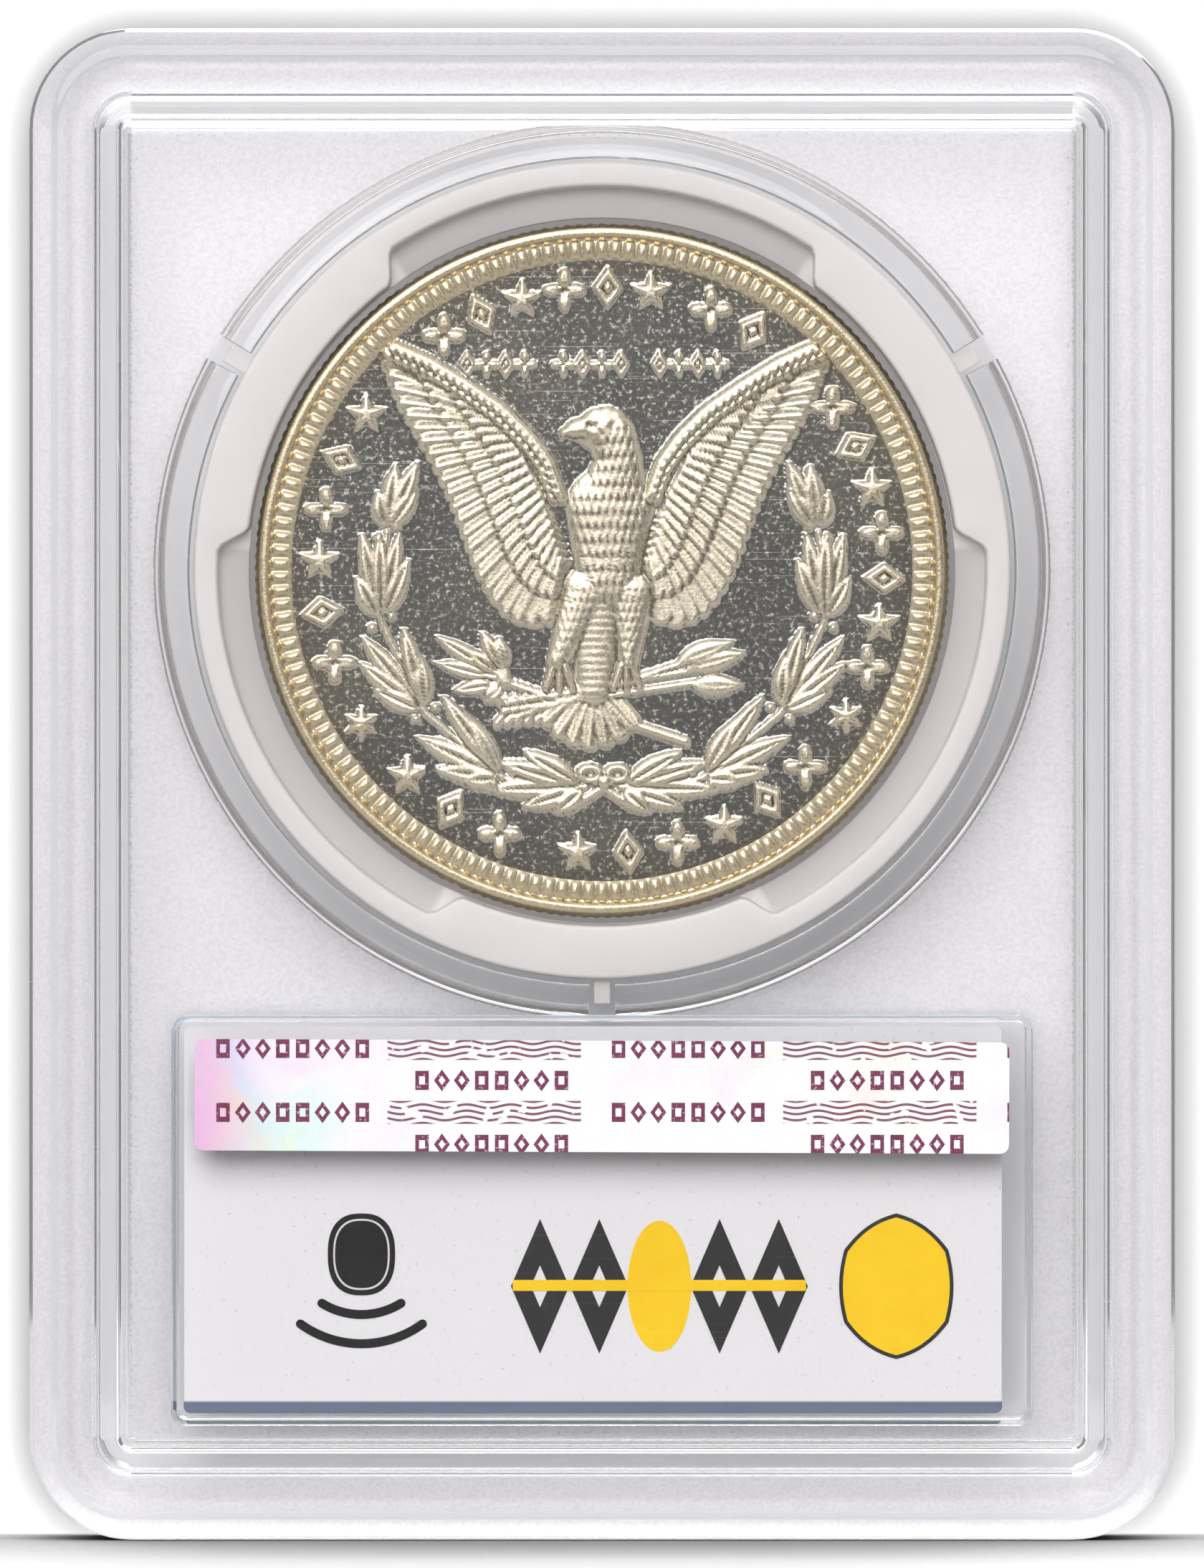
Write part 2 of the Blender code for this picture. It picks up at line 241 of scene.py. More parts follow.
def store(item, **masks):
    """Keep values, one for each vertex, as named attributes that a material reads."""
    for label, values in masks.items():
        layer = item.data.attributes.new(label, "FLOAT", "POINT")
        layer.data.foreach_set("value", np.ravel(values).astype(np.float32))


# ---------------------------------------------------------------- shader helpers

def node(tree, kind, sockets=None, **settings):
    """Add a node, with its settings, and with its inputs set or linked."""
    made = tree.nodes.new(kind)
    for key, value in settings.items():
        setattr(made, key, value)
    for key, value in (sockets or {}).items():
        if isinstance(value, bpy.types.NodeSocket):
            tree.links.new(value, made.inputs[key])
        else:
            made.inputs[key].default_value = value
    return made


def link(tree, source, target):
    """Join two sockets."""
    tree.links.new(source, target)


def calc(tree, operation, first, second=0.0, third=0.0):
    """One step of arithmetic."""
    sockets = {0: first, 1: second, 2: third}
    return node(tree, "ShaderNodeMath", sockets, operation=operation).outputs[0]


def times(tree, first, *others):
    """The product of several values."""
    for other in others:
        first = calc(tree, "MULTIPLY", first, other)
    return first


def plus(tree, first, *others):
    """The sum of several values."""
    for other in others:
        first = calc(tree, "ADD", first, other)
    return first


def minus(tree, first, second):
    """One value less another."""
    return calc(tree, "SUBTRACT", first, second)


def vector_calc(tree, operation, first, second=(0, 0, 0), out=0):
    """One step of vector arithmetic."""
    sockets = {0: first, 1: second}
    return node(tree, "ShaderNodeVectorMath", sockets, operation=operation).outputs[out]


def fade(tree, value, low, high, start=0.0, stop=1.0):
    """A smooth step of a value from start at low to stop at high."""
    sockets = {"Value": value, "From Min": low, "From Max": high, "To Min": start, "To Max": stop}
    made = node(tree, "ShaderNodeMapRange", sockets, interpolation_type="SMOOTHSTEP")
    return made.outputs["Result"]


def blend(tree, factor, first, second, mode="MIX"):
    """Mix two colours, each a socket or plain red, green and blue."""
    first, second = (colour if isinstance(colour, bpy.types.NodeSocket) else (*colour[:3], 1)
                     for colour in (first, second))
    sockets = {0: factor, 6: first, 7: second}
    return node(tree, "ShaderNodeMix", sockets, data_type="RGBA", blend_type=mode).outputs[2]


def blend_value(tree, factor, first, second):
    """Mix two numbers."""
    return node(tree, "ShaderNodeMix", {0: factor, 2: first, 3: second}, data_type="FLOAT").outputs[0]


def noise(tree, place, scale, detail=2.0, rough=0.5):
    """Noise with features of about one over scale, in metres."""
    sockets = {"Vector": place, "Scale": scale, "Detail": detail, "Roughness": rough}
    return node(tree, "ShaderNodeTexNoise", sockets).outputs["Fac"]


def ramp(tree, value, stops):
    """A colour read from a ramp of (place, colour) stops."""
    made = node(tree, "ShaderNodeValToRGB", {"Fac": value})
    elements = made.color_ramp.elements
    while len(elements) < len(stops):
        elements.new(0.5)
    for element, (place, colour) in zip(elements, stops):
        element.position = place
        element.color = (*colour, 1.0)
    return made.outputs["Color"]


def turned(tree, place, **sockets):
    """A place moved, turned or stretched by a Mapping node."""
    return node(tree, "ShaderNodeMapping", {"Vector": place, **sockets}).outputs[0]


def grey(tree, value):
    """A colour with the same value in all three channels."""
    return node(tree, "ShaderNodeCombineColor", {0: value, 1: value, 2: value}).outputs[0]


def mask(tree, label):
    """A value kept on the mesh by store."""
    return node(tree, "ShaderNodeAttribute", attribute_name=label).outputs["Fac"]


def group(name, inputs, outputs):
    """An empty shader group with its sockets, and the sockets of the two nodes at its ends."""
    tree = bpy.data.node_groups.new(name, "ShaderNodeTree")
    kinds = {"value": "NodeSocketFloat", "vector": "NodeSocketVector"}
    for side, labels in (("INPUT", inputs), ("OUTPUT", outputs)):
        for label, kind in labels:
            tree.interface.new_socket(name=label, in_out=side, socket_type=kinds[kind])
    return tree, tree.nodes.new("NodeGroupInput").outputs, tree.nodes.new("NodeGroupOutput").inputs


def use(tree, shared, sockets):
    """Place a shared group in a tree."""
    return node(tree, "ShaderNodeGroup", sockets, node_tree=shared).outputs


def make_box_distance():
    """Distance in metres outside a rounded rectangle in the XZ plane, below zero inside it."""
    labels = [("Place", "vector"), ("Middle", "vector"), ("Half Size", "vector"), ("Radius", "value")]
    tree, given, result = group("box_distance", labels, [("Distance", "value")])
    flat = vector_calc(tree, "MULTIPLY", given["Place"], (1, 0, 1))
    away = vector_calc(tree, "ABSOLUTE", vector_calc(tree, "SUBTRACT", flat, given["Middle"]))
    past = vector_calc(tree, "SUBTRACT", away, given["Half Size"])
    round_off = node(tree, "ShaderNodeCombineXYZ", {"X": given["Radius"], "Z": given["Radius"]}).outputs[0]
    past = vector_calc(tree, "ADD", past, round_off)
    outside = vector_calc(tree, "LENGTH", vector_calc(tree, "MAXIMUM", past, (0, 0, 0)), out="Value")
    parts = node(tree, "ShaderNodeSeparateXYZ", {0: past}).outputs
    inside = calc(tree, "MINIMUM", calc(tree, "MAXIMUM", parts["X"], parts["Z"]), 0.0)
    link(tree, minus(tree, plus(tree, outside, inside), given["Radius"]), result["Distance"])
    return tree


def make_scuffs():
    """Fine straight hairlines in three directions, as a mask."""
    labels = [("Place", "vector"), ("Scale", "value"), ("Amount", "value")]
    tree, given, result = group("scuffs", labels, [("Mask", "value")])
    longest = 0.0
    for turn, stretch in ((0.62, 150.0), (1.3, 110.0), (2.35, 190.0)):
        place = turned(tree, given["Place"], Rotation=(0, turn, 0), Scale=(1, 1, stretch))
        streak = fade(tree, noise(tree, place, given["Scale"], 1.0), 0.70, 0.78)
        longest = calc(tree, "MAXIMUM", streak, longest)
    link(tree, times(tree, longest, given["Amount"]), result["Mask"])
    return tree


def make_grain():
    """Even fine grain as a signed height, and a broad cloudy variation as a mask."""
    labels = [("Place", "vector"), ("Fine", "value"), ("Broad", "value")]
    tree, given, result = group("grain", labels, [("Height", "value"), ("Cloud", "value")])
    fine = noise(tree, given["Place"], given["Fine"], 2.0, 0.6)
    link(tree, minus(tree, fine, 0.5), result["Height"])
    link(tree, noise(tree, given["Place"], given["Broad"], 3.0, 0.55), result["Cloud"])
    return tree


BOX_DISTANCE = make_box_distance()
SCUFFS = make_scuffs()
GRAIN = make_grain()


def new_material(name, fine, broad):
    """A node material: its tree, its Principled shader, object coordinates and its grain."""
    material = bpy.data.materials.new(name)
    material.use_nodes = True
    tree = material.node_tree
    place = tree.nodes.new("ShaderNodeTexCoord").outputs["Object"]
    grain = use(tree, GRAIN, {"Place": place, "Fine": fine, "Broad": broad}) if fine else None
    return material, tree, tree.nodes["Principled BSDF"], place, grain


def dress(tree, shader, tone, rough=None, height=None, strength=0.3, depth=0.03, **plain):
    """Link a shader's colour, its roughness and a bump of a depth in mm, and set plain sockets."""
    link(tree, tone, shader.inputs["Base Color"])
    if rough is not None:
        link(tree, rough, shader.inputs["Roughness"])
    if height is not None:
        sockets = {"Height": height, "Strength": strength, "Distance": depth * MM}
        link(tree, node(tree, "ShaderNodeBump", sockets).outputs[0], shader.inputs["Normal"])
    for key, value in plain.items():
        shader.inputs[key.replace("_", " ")].default_value = value


def lets_lamps_through(tree, shader, tint):
    """Glass lets lamplight through to what lies behind it, a little dimmed, and less at a slant."""
    path = tree.nodes.new("ShaderNodeLightPath").outputs
    grazing = node(tree, "ShaderNodeLayerWeight", {"Blend": 0.5}).outputs["Facing"]
    passed = grey(tree, fade(tree, grazing, 0.25, 0.85, tint, 0.25))
    clear = node(tree, "ShaderNodeBsdfTransparent", {"Color": passed}).outputs[0]
    mixed = node(tree, "ShaderNodeMixShader", {0: path["Is Shadow Ray"], 1: shader.outputs[0], 2: clear})
    link(tree, mixed.outputs[0], tree.nodes["Material Output"].inputs["Surface"])


# ---------------------------------------------------------------- materials

def clear_plastic(name, side):
    """Clear moulded plastic, frosted on the panel and the rim band of its outer face."""
    material, tree, shader, place, grain = new_material(name, 5200.0, 130.0)
    soft = 0.07 * MM

    def box(middle_z, half_w, half_h, radius):
        sockets = {"Place": place, "Middle": (0.0, 0.0, middle_z), "Radius": radius,
                   "Half Size": (half_w, 0.0, half_h)}
        return use(tree, BOX_DISTANCE, sockets)["Distance"]

    def outline(inset, radius):
        return box(SLAB_H / 2, SLAB_W / 2 - inset, SLAB_H / 2 - inset, radius)

    panel = outline(PANEL_EDGE + 0.25 * MM, 0.4 * MM)
    window = box(WINDOW_MID_Z, WINDOW_HALF_W, WINDOW_HALF_H, 0.8 * MM)
    radius = coin_radius(tree, place)
    flat = times(tree, fade(tree, panel, -soft, soft, 1.0, 0.0), fade(tree, window, -soft, soft),
                 fade(tree, radius, RING_OUTER_R - soft, RING_OUTER_R + soft))
    band = times(tree, fade(tree, outline(EDGE_ROUND, CORNER_R - EDGE_ROUND), -soft, soft, 1.0, 0.0),
                 fade(tree, outline(RIM_INNER, CORNER_R - RIM_INNER), -soft, soft))
    level = times(tree, node(tree, "ShaderNodeSeparateXYZ", {0: place}).outputs["Y"], side)
    outside = calc(tree, "GREATER_THAN", level, PANEL_LEVEL - 0.15 * MM)
    frost = times(tree, calc(tree, "MAXIMUM", flat, band), outside)

    scuffs = use(tree, SCUFFS, {"Place": place, "Scale": 80.0, "Amount": 0.15})["Mask"]
    near_edge = fade(tree, calc(tree, "ABSOLUTE", plus(tree, panel, 0.22 * MM)), 0.0, 0.12 * MM, 1.0, 0.0)
    dots = fade(tree, noise(tree, place, 3600.0, 1.0), 0.60, 0.66)
    lint = times(tree, near_edge, dots, outside, 0.55)
    uneven = times(tree, minus(tree, grain["Cloud"], 0.5), 0.06)
    rough = plus(tree, fade(tree, frost, 0, 1, 0.03, 0.40), scuffs, uneven)
    mottle = fade(tree, grain["Height"], -0.16, 0.16)
    frosted = blend(tree, mottle, (0.81, 0.795, 0.825), (0.985, 0.97, 0.99))
    tint = blend(tree, frost, (0.985, 0.98, 0.99), frosted)
    tint = blend(tree, lint, tint, (0.30, 0.29, 0.30))
    dress(tree, shader, tint, rough, times(tree, grain["Height"], frost), 0.5, 0.05,
          IOR=1.49, Transmission_Weight=1.0)
    lets_lamps_through(tree, shader, 0.94)
    return material


def coin_radius(tree, place):
    """Distance from the coin's axis."""
    away = vector_calc(tree, "SUBTRACT", place, (0.0, 0.0, COIN_Z))
    return vector_calc(tree, "LENGTH", vector_calc(tree, "MULTIPLY", away, (1, 0, 1)), out="Value")


def milky_gasket():
    """Soft translucent rubber: warm white with faint flow marks, and painted shade that darkens its thin
    web beside the coin.
    """
    material, tree, shader, _, grain = new_material("milky_gasket", 2600.0, 240.0)
    tone = blend(tree, grain["Cloud"], (0.69, 0.655, 0.64), (0.76, 0.73, 0.715))
    # painted shade: the thin web lies deeper beside the coin, so it gets a darker tone for the shade there
    tone = blend(tree, mask(tree, "web"), tone, (0.52, 0.485, 0.485))
    dress(tree, shader, tone, fade(tree, grain["Cloud"], 0.3, 0.7, 0.40, 0.52), grain["Height"], 0.25, 0.03,
          Subsurface_Weight=0.35, Subsurface_Radius=(0.9, 0.85, 0.8), Subsurface_Scale=0.8 * MM)
    return material


def struck_silver(name, gold):
    """Struck silver: mirror-like toned fields with hairlines, frosted pale devices, gold near the rim; with
    painted reflection, sheen and shade.
    """
    material, tree, shader, place, grain = new_material(name, 6500.0, 200.0)
    device, hollow = mask(tree, "device"), mask(tree, "hollow")
    near_rim = fade(tree, coin_radius(tree, place), 14.5 * MM, 18.6 * MM)
    cloud = noise(tree, place, 170.0, 4.0, 0.6)
    speck = fade(tree, noise(tree, place, 3600.0, 3.0, 0.75), 0.50, 0.68)
    # painted sheen, partly: broad pale gold patches on the field, which are partly toning
    haze = fade(tree, noise(tree, place, 90.0, 2.0), 0.45, 0.72)
    scuffs = use(tree, SCUFFS, {"Place": place, "Scale": 85.0, "Amount": 1.0})["Mask"]
    # painted reflection, partly: besides its toning, the field's dark tone stands for the dark surroundings
    # that a mirror field reflects
    field = blend(tree, cloud, (0.34, 0.335, 0.315), (0.50, 0.475, 0.42))
    for share, layer, colour in (
            (0.5, haze, (0.66, 0.60, 0.46)), (0.5, speck, (0.92, 0.89, 0.82)),
            (0.14, scuffs, (0.78, 0.76, 0.70))):
        field = blend(tree, times(tree, layer, share), field, colour)
    raised = blend(tree, cloud, (0.64, 0.565, 0.42), (0.80, 0.735, 0.58))
    # painted shade: hollows of the relief, gaps between the rim's beads and the rim's outer edge take a
    # dark brown tone
    raised = blend(tree, fade(tree, hollow, 0.05, 0.9, 0.0, 0.9), raised, (0.24, 0.205, 0.14))
    tone = blend(tree, device, field, raised)
    tone = blend(tree, times(tree, near_rim, gold), tone, (0.90, 0.76, 0.50), "MULTIPLY")
    rough = plus(tree, fade(tree, device, 0, 1, 0.12, 0.27), times(tree, speck, 0.15))
    height = times(tree, grain["Height"], fade(tree, device, 0, 1, 0.25, 1.0))
    height = minus(tree, height, times(tree, scuffs, 0.1))
    dress(tree, shader, tone, rough, height, 0.35, 0.03, Metallic=1.0)
    return material


def label_stock(name, pale, deep, edge_line):
    """Coated label paper: a faint fibre grain, a little cloudiness and a blue line on one edge."""
    material, tree, shader, place, grain = new_material(name, 3400.0, 60.0)
    tone = blend(tree, grain["Cloud"], pale, deep)
    tone = blend(tree, fade(tree, grain["Height"], 0.12, 0.3), tone, (0.55, 0.54, 0.56))
    level = node(tree, "ShaderNodeSeparateXYZ", {0: place}).outputs["Z"]
    bottom = float(LABEL_LOW[2])
    line = fade(tree, level, bottom + 0.55 * MM, bottom + 0.72 * MM, 1.0, 0.0)
    tone = blend(tree, line, tone, edge_line)
    dress(tree, shader, tone, None, grain["Height"], 0.12, 0.02, Roughness=0.55)
    return material


def printed_ink(name, colour):
    """Printing ink: one colour with a slightly uneven lay-down."""
    material, tree, shader, _, grain = new_material(name, 4200.0, 500.0)
    worn = tuple(min(1.0, channel * 1.25 + 0.01) for channel in colour)
    tone = blend(tree, grain["Cloud"], colour, worn)
    rough = fade(tree, grain["Height"], -0.3, 0.3, 0.67, 0.85)
    dress(tree, shader, tone, rough, Specular_IOR_Level=0.2)
    return material


# ---------------------------------------------------------------- clear halves

def tray_profile(is_back):
    """One half's profile: panel, steps, rim, outer wall, then the weld land and the cavity."""
    spread = 0.0 if is_back else CLEARANCE
    height = -TONGUE_H if is_back else TONGUE_H + CLEARANCE
    near = TONGUE_INSET - spread
    far = TONGUE_INSET + TONGUE_W + spread
    small, soft = 0.05 * MM, 0.14 * MM
    return soft_profile([
        (PANEL_EDGE, PANEL_LEVEL, 0),
        (PANEL_INSET, PANEL_LEVEL, soft),
        (PANEL_INSET - STEP_SLOPE, HALF_T - STEP_DROP, soft),
        (RIM_INNER + STEP_SLOPE, HALF_T - STEP_DROP, soft),
        (RIM_INNER, HALF_T, soft),
        (0.0, HALF_T, EDGE_ROUND),
        (0.0, SEAM_V, small),
        (SEAM_V, WELD_GAP, small),
        (near, WELD_GAP, small),
        (near, height, soft),
        (far, height, soft),
        (far, WELD_GAP, small),
        (CAVITY_INSET, WELD_GAP, small),
        (CAVITY_INSET, CAVITY_LEVEL, 0.3 * MM),
        (CAVITY_INSET + 0.5 * MM, CAVITY_LEVEL, 0),
    ])


def window_block(side):
    """The clear label window: a raised bevelled face outside and a lipped pocket inside."""
    soft = 0.05 * MM
    profile = soft_profile([
        (0.55 * MM, WINDOW_LEVEL, 0),
        (0.30 * MM, WINDOW_LEVEL, soft),
        (0.0, WINDOW_LEVEL - 0.15 * MM, soft),
        (0.0, WELD_GAP, soft),
        (WINDOW_LIP, WELD_GAP, soft),
        (WINDOW_LIP, PAD_LEVEL, soft),
        (WINDOW_LIP + 0.3 * MM, PAD_LEVEL, 0),
    ])
    rings = frame_rings(WINDOW_HALF_W, WINDOW_HALF_H, 0.8 * MM, WINDOW_MID_Z, profile, side)
    return loft("window_block", rings)


def ring_wall(side, prong):
    """One third of the wall round the gasket: a drafted section carried round an arc.

    The section narrows from its root in the panel to a rounded lip at the weld plane.
    """
    notch = (0.4 * MM + CLEARANCE) / RING_INNER_R
    spacing = 2 * math.pi / PRONGS
    angles = np.linspace(spacing * (prong - 0.5) + notch, spacing * (prong + 0.5) - notch, 97)
    root = CAVITY_LEVEL + 0.5 * MM
    section = soft_profile([
        (RING_INNER_R, root, 0),
        (RING_INNER_R, WELD_GAP, 0.18 * MM),
        (RING_OUTER_R - 0.45 * MM, WELD_GAP, 0.45 * MM),
        (RING_OUTER_R - 0.12 * MM, CAVITY_LEVEL - 0.25 * MM, 0.3 * MM),
        (RING_OUTER_R, CAVITY_LEVEL, 0.1 * MM),
        (RING_OUTER_R, root, 0),
    ])
    rings = around(section[None, :, 0], angles[:, None], side * section[None, :, 1])
    return loft("ring_wall", rings)


def weld(item, tools, smooth_angle=35.0):
    """Join other closed bodies to a piece as one skin."""
    for tool in tools:
        union = item.modifiers.new(tool.name, "BOOLEAN")
        union.operation = "UNION"
        union.solver = "EXACT"
        union.object = tool
    joined = bpy.data.meshes.new_from_object(item.evaluated_get(bpy.context.evaluated_depsgraph_get()))
    item.modifiers.clear()
    item.data = joined
    for tool in tools:
        bpy.data.objects.remove(tool)
    joined.shade_smooth()
    joined.set_sharp_from_angle(angle=math.radians(smooth_angle))
    even = item.modifiers.new("even_normals", "WEIGHTED_NORMAL")
    even.keep_sharp = True
    return item


def make_shell(name, is_back):
    """One clear half: its tray, its label window and the wall round the gasket, as one skin."""
    side = -1 if is_back else 1
    rings = frame_rings(SLAB_W / 2, SLAB_H / 2, CORNER_R, SLAB_H / 2, tray_profile(is_back), side)
    shell = loft(name, rings)
    weld(shell, [window_block(side)] + [ring_wall(side, prong) for prong in range(PRONGS)])
    node_name = "back_shell" if is_back else "front_shell"
    slot = "shell_back" if is_back else "shell_front"
    return finished(shell, clear_plastic(name, side), slot, node_name)


# ---------------------------------------------------------------- gasket

PRONG_R = COIN_R + 0.3 * MM
PRONG_HALF_ANGLE = math.radians(25.0)


def openness(angle):
    """0 on a prong and 1 between prongs, with a smooth shoulder, for an array of angles."""
    spacing = 2 * math.pi / PRONGS
    away = np.abs(angle % spacing - spacing / 2)
    shoulder = math.radians(4.0)
    share = np.clip((away - PRONG_HALF_ANGLE) / shoulder + 0.5, 0, 1)
    return share * share * (3 - 2 * share)


def gasket_section(step_r, key_r):
    """Closed section of the ring: a thin web at the coin, a step, a full band and a key's end."""
    full, thin, key, soft = GASKET_HIGH[1], 0.25 * MM, 0.62 * MM, 0.22 * MM
    half = soft_profile([
        (PRONG_R, 0.0, 0),
        (PRONG_R, thin, 0.08 * MM),
        (step_r, thin, 0.08 * MM),
        (step_r + 0.12 * MM, full, soft),
        (GASKET_R, full, soft),
        (GASKET_R, key + 0.03 * MM, 0.05 * MM),
        (key_r, key, 0.1 * MM),
        (key_r, 0.0, 0),
    ])
    return np.concatenate([half[:-1], (half * (1, -1))[:0:-1]])


def make_gasket():
    """The milky ring: sections for a prong, an open stretch and a key, blended by angle."""
    spacing = 2 * math.pi / PRONGS
    key_half = 0.4 * MM / GASKET_R
    angles = np.linspace(0, 2 * math.pi, 361)[:-1]
    middles = spacing * (np.arange(PRONGS) + 0.5)
    near_keys = [middle + key_half * np.array([-1.12, -1.0, 1.0, 1.12]) for middle in middles]
    angles = np.sort(np.concatenate([angles] + near_keys))
    away = np.abs(angles % spacing - spacing / 2)
    keyed = np.clip((1.12 * key_half - away) / (0.12 * key_half), 0, 1)[:, None, None]
    share = openness(angles)[:, None, None]
    closed_r, plain_r = PRONG_R + 0.06 * MM, GASKET_R + 0.02 * MM
    closed, opened = gasket_section(closed_r, plain_r), gasket_section(GASKET_R - 1.4 * MM, plain_r)
    with_key = gasket_section(closed_r, GASKET_R + 1.4 * MM)
    section = closed * (1 - share) + opened * share
    section = section * (1 - keyed) + with_key * keyed
    rings = around(section[..., 0], angles[:, None], section[..., 1])
    faces = grid_quads(*rings.shape[:2], wrap_rows=True, wrap_cols=True)
    gasket = skin("coin_gasket_soft", rings, [faces])
    step_r = (GASKET_R - 1.4 * MM) * openness(angles)[:, None]
    # the web mask, which the gasket material darkens as painted shade
    web = np.clip((step_r - section[..., 0]) / (0.1 * MM), 0, 1) * (np.abs(section[..., 1]) < 0.3 * MM)
    store(gasket, web=web)
    return finished(gasket, milky_gasket(), "gasket", "coin_gasket")


# ---------------------------------------------------------------- coin

# All of the relief is drawn in millimetres from the coin's centre: x to the right and z up as
# the back of the slab is read. Heights are in millimetres above the field.
FIELD_LEVEL = COIN_HIGH[1] / MM - 0.34
DISC_R = 17.05
FACE_GRID = 308
BEAD_R = 17.62
BEADS = 150
REEDS = 189


def dome(distance):
    """Half-circle profile: sqrt(1 - d^2) inside d = 1, and nothing outside."""
    return np.sqrt(np.clip(1 - distance * distance, 0, 1))


def tallest(reliefs):
    """The highest of several reliefs at each point."""
    return np.maximum.reduce(list(reliefs))


def along_line(points, root, tip):
    """Share of the way along a line, signed distance across it, and its length."""
    root, tip = np.asarray(root, float), np.asarray(tip, float)
    span = tip - root
    length = math.hypot(*span)
    away = points - root
    along = (away @ span) / length ** 2
    across = (away[:, 1] * span[0] - away[:, 0] * span[1]) / length
    return along, across, length


def leaf(points, root, tip, width, height, vein=0.25):
    """A pointed leaf: half width sin(pi t^0.8), a domed section and a groove down its middle."""
    along, across, _ = along_line(points, root, tip)
    inside = np.clip(along, 0, 1)
    half = 0.5 * width * np.sin(math.pi * inside ** 0.8) ** 0.8 + 1e-6
    share = np.abs(across) / half
    rise = height * dome(share) ** 0.7 * (1 - vein * np.exp(-(share / 0.22) ** 2))
    return np.where((along > 0) & (along < 1), rise * (0.75 + 0.25 * np.sin(math.pi * inside)), 0)


def feather(points, root, tip, width, height, tilt=0.35):
    """A feather: straight sides, a round tip, a raised shaft and one edge lower than the other."""
    along, across, length = along_line(points, root, tip)
    past = np.clip((along - 1) * length + 0.5 * width, 0, None) / (0.5 * width)
    share = across / (0.5 * width)
    reach = np.sqrt(share ** 2 + past ** 2)
    shaft = np.exp(-(share / 0.16) ** 2)
    rise = height * (0.72 + 0.28 * np.clip(along, 0, 1))
    rise = rise * (1 - tilt * 0.5 * (share + 1)) + 0.18 * height * shaft
    edge = np.clip((1 - reach) / 0.3, 0, 1)
    return np.where((along > -0.02) & (reach < 1), rise * edge ** 0.5, 0)


def limb(points, root, tip, root_r, tip_r, height):
    """A tapered round bar between two points."""
    along, across, length = along_line(points, root, tip)
    inside = np.clip(along, 0, 1)
    distance = np.hypot(across, (along - inside) * length)
    return height * dome(distance / (root_r + (tip_r - root_r) * inside))


def bars(points, rows):
    """Several tapered round bars: rows of root, tip, root radius, tip radius and height."""
    return tallest(limb(points, *row) for row in rows)


def blob(points, middle, half, turn, height):
    """An ellipse with a domed section, turned by an angle in degrees."""
    turn = math.radians(turn)
    away = points - np.asarray(middle)
    along = away[:, 0] * math.cos(turn) + away[:, 1] * math.sin(turn)
    across = away[:, 1] * math.cos(turn) - away[:, 0] * math.sin(turn)
    return height * dome(np.hypot(along / half[0], across / half[1]))


def star(points, middle, radius, height, arms=6):
    """A faceted star: distance to the nearest arm's edges, with a ridge down each arm."""
    away = points - np.asarray(middle)
    reach = np.hypot(away[:, 0], away[:, 1])
    step = math.pi / arms
    turn = np.abs((np.arctan2(away[:, 0], away[:, 1]) + step) % (2 * step) - step)
    inner = 0.46 * radius
    tip = np.array([radius, 0.0])
    notch = np.array([inner * math.cos(step), inner * math.sin(step)])
    side = np.stack([reach * np.cos(turn), reach * np.sin(turn)], axis=-1) - notch
    edge = tip - notch
    depth = (edge[0] * side[:, 1] - edge[1] * side[:, 0]) / math.hypot(*edge)
    return height * np.clip(-depth / (0.22 * radius), 0, 1) ** 0.6


def spaced(path, count):
    """Points at equal steps along a broken line."""
    path = np.asarray(path, float)
    steps = np.hypot(*np.diff(path, axis=0).T)
    run = np.concatenate([[0], np.cumsum(steps)])
    wanted = np.linspace(0, run[-1], count)
    return np.stack([np.interp(wanted, run, path[:, axis]) for axis in range(2)], axis=-1)


WING_LEADING = (
    (-2.2, 4.0), (-2.9, 5.97), (-3.9, 7.33), (-5.4, 8.8), (-7.35, 10.15), (-9.3, 11.35), (-11.3, 12.25))
WING_ROOTS = ((-7.4, 9.9), (-5.6, 8.0), (-4.2, 5.9), (-3.3, 4.1), (-2.7, 2.3), (-2.25, 0.7))
WING_TIPS = (
    (-12.3, 12.35), (-12.0, 11.2), (-11.3, 9.3), (-10.35, 7.5), (-9.45, 5.9), (-8.7, 4.3), (-8.05, 2.7),
    (-7.45, 1.1), (-6.85, -0.4), (-6.1, -1.7), (-5.2, -2.75), (-4.1, -3.2), (-3.1, -3.0))


WING_ROWS = ((24, 1.0, 1.3, 0.155), (24, 0.62, 1.0, 0.205), (22, 0.34, 0.8, 0.245))
ARM_SCALES = ((0.25, 0.29), (0.62, 0.275))


def wing(points):
    """One spread wing: flight feathers, two rows of coverts over them, and the scaled arm.

    A row is a count of feathers, their share of root to tip, and their width and height.
    """
    parts = [np.zeros(len(points))]
    for count, reach, width, rise in WING_ROWS:
        for order, (root, tip) in enumerate(zip(spaced(WING_ROOTS, count), spaced(WING_TIPS, count))):
            end = root + (tip - root) * reach
            parts.append(feather(points, root, end, width, rise + 0.012 * (order % 2)))
    arm = spaced(WING_LEADING, 26)
    parts.append(bars(points, [(near, far, 0.36, 0.34, 0.25) for near, far in zip(arm, arm[1:])]))
    parts += [blob(points, far + np.array([-0.62, -0.78]) * drop, (0.46, 0.24), 130, rise)
              for far in arm[1:] for drop, rise in ARM_SCALES]
    return tallest(parts)


